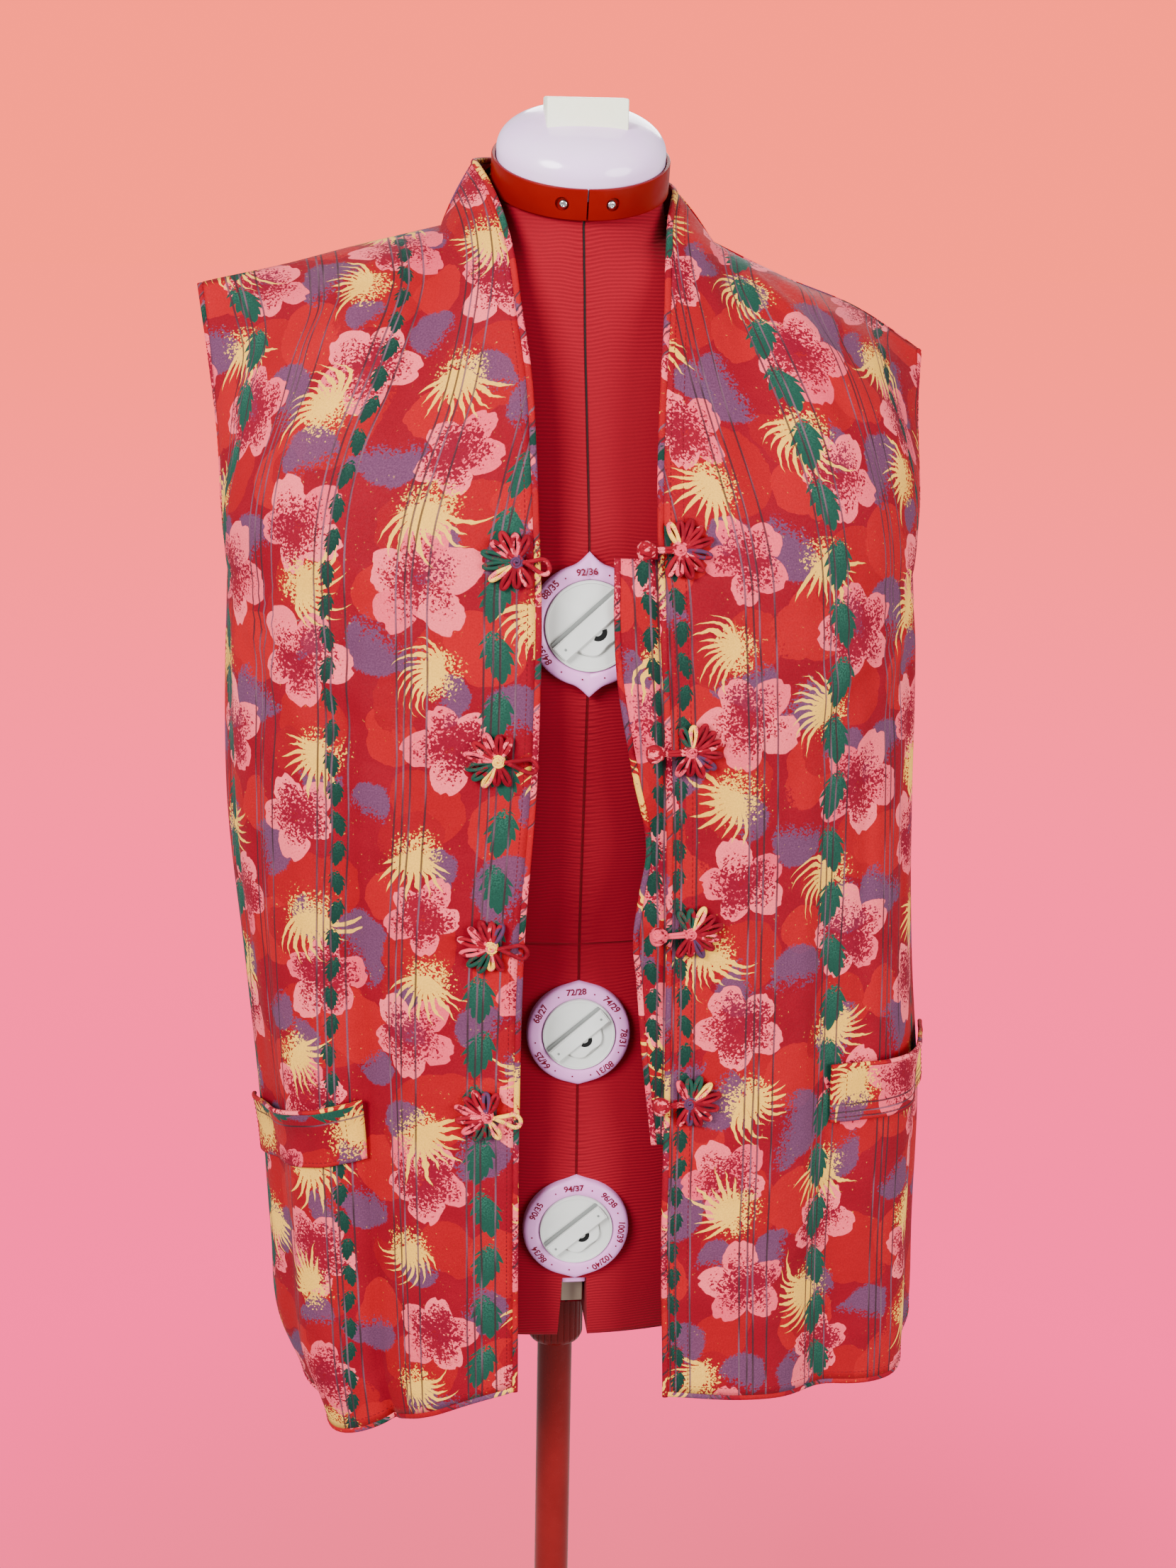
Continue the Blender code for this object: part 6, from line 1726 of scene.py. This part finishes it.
# Flat piece with eased edges from an outline in the dial's plane
def slabPiece(name, outline, low, high, place, finishName, replaced, eased):
    work = bmesh.new()
    face = work.faces.new([work.verts.new((*spot, low)) for spot in outline])
    made = bmesh.ops.extrude_face_region(work, geom=[face])
    top = [v for v in made["geom"] if isinstance(v, bmesh.types.BMVert)]
    bmesh.ops.translate(work, verts=top, vec=(0, 0, high - low))
    bmesh.ops.recalc_face_normals(work, faces=work.faces)
    rim = [e for e in work.edges if all(v in top for v in e.verts)]
    bmesh.ops.bevel(work, geom=rim, offset=eased, segments=3, affect="EDGES")
    bmesh.ops.triangulate(work, faces=work.faces)
    work.transform(place)
    placed(meshFrom(name, work, 35), finishes[finishName], replaced)


# Points of an ellipse round the dial's middle, or of part of it
def ellipse(turns, halfX, halfY):
    return np.stack([np.cos(turns) * halfX, np.sin(turns) * halfY], axis=-1)


# Bar across the knob with a grey groove beside it, and under it the winged lever: its
# outer side swells towards both ends, which are rounded, and dips in the middle. A
# near-black crescent on the lever, just under the bar, is painted shade of a recess
def makeGrip(name, knobR, face, place):
    long, half = knobR * 0.925, knobR * 0.205
    end = np.sqrt(knobR ** 2 * 0.87 - half ** 2)
    bar = [(-end, -half), (end, -half), (end * 1.02, half * 0.4), (long, half),
           (-long, half), (-end * 1.02, -half * 0.2)]
    groove = [(-long, half), (long, half), (long * 0.985, half * 1.42), (-long * 0.985, half * 1.42)]
    u = np.linspace(-1, 1, 41)
    swell = (0.42 + 0.05 * ease(np.abs(u) / 0.6)) * (1 - np.abs(u) ** 3.2) ** 0.6
    wings = np.stack([u * knobR * 0.56, -half - knobR * swell * 0.95 + 0.0010], axis=-1)
    lever = np.vstack([wings, [(knobR * 0.56, -half + 0.0005), (-knobR * 0.56, -half + 0.0005)]])
    # Outline of the painted shade: a near-black crescent standing for the shade of a recess in the
    # lever
    a = np.radians(np.linspace(200, 340, 15))
    deepShade = np.vstack([ellipse(a, knobR * 0.20, knobR * 0.20),
                      ellipse(a[::-1], knobR * 0.10, knobR * 0.08)])
    deepShade = deepShade + np.array([knobR * 0.04, -half + knobR * 0.01])
    dot = ellipse(np.linspace(0, 2 * pi, 13)[:-1], 0.0008, 0.0008)
    for kind, number, outline, low, high, finishName, slotName, eased in (
            ("Grip", "", bar, -0.0010, 0.0042, "white", "white", 0.0007),
            ("Groove", "", groove, -0.0010, 0.0016, "grip", "grey", 0.0002),
            ("Lever", "", lever[::-1], -0.0012, 0.0022, "white", "white", 0.0006),
            ("DeepShade", "", deepShade, 0.0012, 0.0024, "deepShade", "grey", 0.0001),
            ("Pin", "0", dot - np.array([0.80 * long, 0]), 0.0030, 0.0045, "grip", "grey", 0.0001),
            ("Pin", "1", dot + np.array([0.82 * long, 0]), 0.0030, 0.0045, "grip", "grey", 0.0001)):
        slabPiece("dial" + kind + name.capitalize() + number, outline, face + low, face + high,
                  place, finishName, ["dial_grip_" + name] if kind == "Grip" else (),
                  eased)


# Mesh of a number, flat and centred
def numberMesh(text):
    curve = bpy.data.curves.new("mark", "FONT")
    curve.body, curve.size, curve.extrude = text, dial["text"], 0.00006
    curve.align_x, curve.align_y, curve.offset = "CENTER", "CENTER", dial["bold"]
    holder = linked("mark", curve)
    bpy.context.view_layer.update()
    mesh = bpy.data.meshes.new_from_object(
        holder.evaluated_get(bpy.context.evaluated_depsgraph_get()))
    bpy.data.objects.remove(holder, do_unlink=True)
    bpy.data.curves.remove(curve)
    return mesh


# Numbers and dots on the ring, the numbers turned to stand upright from the dial's middle
def makeMarks(name, marks, dialPlace, reach, level):
    work = bmesh.new()

    def onRing(turn):
        t = radians(turn)
        return dialPlace @ Matrix.Translation((sin(t) * reach, cos(t) * reach, level))

    for text, turn in marks:
        mesh = numberMesh(text)
        start = len(work.verts)
        work.from_mesh(mesh)
        work.verts.ensure_lookup_table()
        bmesh.ops.transform(work, matrix=onRing(turn) @ Matrix.Rotation(-radians(turn), 4, "Z"),
                            verts=work.verts[start:])
        bpy.data.meshes.remove(mesh)
    for turn in np.arange(-172, 180, 24):
        if min(abs((turn - t + 180) % 360 - 180) for _, t in marks) >= 17:
            bmesh.ops.create_cone(work, cap_ends=True, segments=14, radius1=0.00052,
                                  radius2=0.00052, depth=0.00016, matrix=onRing(float(turn)))
    mesh = bpy.data.meshes.new("dialMarks" + name.capitalize())
    work.to_mesh(mesh)
    work.free()
    placed(mesh, finishes["ink"], ())


for name in dialTable:
    makeDial(name)
print("dials made")


# Stand: radius and height of the adjuster's ring, the pole's collar and the base's boss
stand = {"x": -0.0045, "adjuster": (0.0230, 0.0170), "collar": (0.0200, 0.0385), "pole": 0.0125,
         "base": 0.170, "thick": 0.012, "boss": (0.030, 0.022), "ribs": 26}


def makeStand():
    gap, low = garment["gap"], bodyTable["z"][0]
    wide, high = body["notch"]
    (ringR, ringHigh), (collarR, collarHigh) = stand["adjuster"], stand["collar"]
    bossR, bossHigh = stand["boss"]
    thick, baseR = stand["thick"], stand["base"]
    ringLow = low - gap - ringHigh
    collarLow = ringLow - gap - collarHigh
    poleLow = thick + bossHigh + gap
    collar = [(0, 0), (0, collarR - 0.002), (0.004, collarR), (collarHigh, collarR), (collarHigh, 0)]
    base = [(0, 0), (0, baseR), (thick, baseR - 0.001), (thick, bossR),
            (thick + bossHigh, bossR * 0.62), (thick + bossHigh, 0)]

    def ribs(turn):
        return -0.0007 * np.maximum(0, np.cos(turn * stand["ribs"])) ** 3

    def turned(name, node, z, profile, radius, sides=96, grip=None):
        made = latheArrays((stand["x"], 0.0, z), (0.0, 0.0, 1.0), rounded(profile, radius), sides,
                           grip)
        makePiece(name, *made, None, finishes["pole"], [node], "pole_red", 50)

    turned("adjusterRing", "adjuster", ringLow, disc(ringR, 0, ringHigh), 0.0016)
    for name, size, y, up, finishName in (
            ("notchStrip", (wide - 0.0012, 0.020, high * 0.52), -0.0800, 0.70, "grey"),
            ("hipTab", (wide * 0.98, 0.008, high * 0.14), -0.0990, 0.955, "lilac")):
        roundedBox(name, (body["x"], y, low + high * up), size, 0.0010, finishName)
    turned("poleCollar", "pole_collar", collarLow, collar, 0.0014, 260, ribs)
    turned("standPole", "pole", poleLow, disc(stand["pole"], 0, collarLow - gap - poleLow), 0.0010)
    turned("standBase", "base", 0.0, base, 0.0035, 160)


makeStand()
print("stand made")


# Stage: where the floor starts and ends going over into the backdrop, and their colours
stage = {"near": 0.35, "far": 1.3, "floor": (0.93, 0.085, 0.150), "low": (2.55, 0.086, 0.47),
         "middle": (2.80, 0.120, 0.400), "top": (2.70, 0.300, 0.185),
         "given": (0.90, 0.86, 0.86)}
# Lamps: name, place, aim, size and power
lamps = [
    ("keyLight", (-2.2, -2.4, 2.7), (0.0, 0.0, 1.05), 1.7, 262.0),
    ("fillLight", (2.4, -2.4, 1.35), (0.0, 0.0, 0.95), 2.2, 140.0),
    ("backLight", (0.6, 2.6, 2.6), (0.0, 0.0, 1.1), 1.6, 55.0),
]


# Camera: aimed and rolled as the photograph's was, from the form's neck height
view = {"distance": 1.38, "azimuth": -6.0, "pitch": 15.5, "height": 1.40, "aside": 0.012,
        "roll": 1.1, "focal": 3000 / 2212 * 36.0}


# Floor that goes over, away from the form, into the even glow of a far backdrop
def makeStage():
    bpy.ops.mesh.primitive_circle_add(vertices=96, radius=40.0, fill_type="NGON")
    floorPiece = bpy.context.object
    floorPiece.name = "floor"
    material, shader, place = newMaterial("paleFloor")
    x, y, _ = split(place)
    far = lengthOf(x, y)
    finish(shader, (*stage["floor"], 1.0), 0.9, None, Specular_IOR_Level=0.1)
    sight = view["height"] / (far + view["distance"])
    low = mixed(ramp(sight, 0.55, 0.22), (*stage["low"], 1.0), (*stage["middle"], 1.0))
    color = mixed(ramp(sight, 0.34, 0.0), low, (*stage["top"], 1.0))
    glow = addNode("Emission", {"Color": color})
    both = addNode("MixShader", {0: ramp(far, stage["near"], stage["far"]),
                                 1: Value(shader.outputs[0]), 2: Value(glow.outputs[0])})
    feed(place.tree.nodes["Material Output"].inputs["Surface"], Value(both.outputs[0]))
    floorPiece.data.materials.append(material)
    floorPiece.visible_diffuse = False
    floorPiece.visible_glossy = False


# The camera sees the backdrop's colour beyond the floor, and the form gets plain light
def makeWorld():
    world = bpy.data.worlds.new("studio")
    world.use_nodes = True
    tree = world.node_tree
    seen = tree.nodes["Background"]
    feed(seen.inputs["Color"], (*stage["top"], 1.0))
    given = addNode("Background", {"Color": (*stage["given"], 1.0), "Strength": 0.74}, tree)
    camera = addNode("LightPath", {}, tree).outputs["Is Camera Ray"]
    both = addNode("MixShader", {0: Value(camera), 1: Value(given.outputs[0]),
                                 2: Value(seen.outputs[0])})
    feed(tree.nodes["World Output"].inputs["Surface"], Value(both.outputs[0]))
    bpy.context.scene.world = world


def makeLamps():
    for name, place, target, size, power in lamps:
        lamp = bpy.data.lights.new(name, "AREA")
        lamp.shape, lamp.size, lamp.energy = "DISK", size, power
        holder = linked(name, lamp)
        holder.location = place
        aim = Vector(target) - Vector(place)
        holder.rotation_euler = aim.to_track_quat("-Z", "Y").to_euler()


def makeCamera():
    a, t, r = (radians(view[k]) for k in ("azimuth", "pitch", "roll"))
    right = Vector((cos(a), sin(a), 0.0))
    level = Vector((-sin(a), cos(a), 0.0))
    forward = level * cos(t) + Vector((0, 0, -sin(t)))
    up = right.cross(forward)
    right, up = right * cos(r) + up * sin(r), up * cos(r) - right * sin(r)
    place = right * view["aside"] - level * view["distance"] + Vector((0, 0, view["height"]))
    lens = bpy.data.cameras.new("camera")
    lens.sensor_fit = "AUTO"
    lens.sensor_width = 36.0
    lens.lens = view["focal"]
    camera = linked("camera", lens)
    turned = Matrix((right, up, -forward)).transposed().to_4x4()
    camera.matrix_world = Matrix.Translation(place) @ turned
    bpy.context.scene.camera = camera


makeStage()
makeWorld()
makeLamps()
makeCamera()
print("stage made")
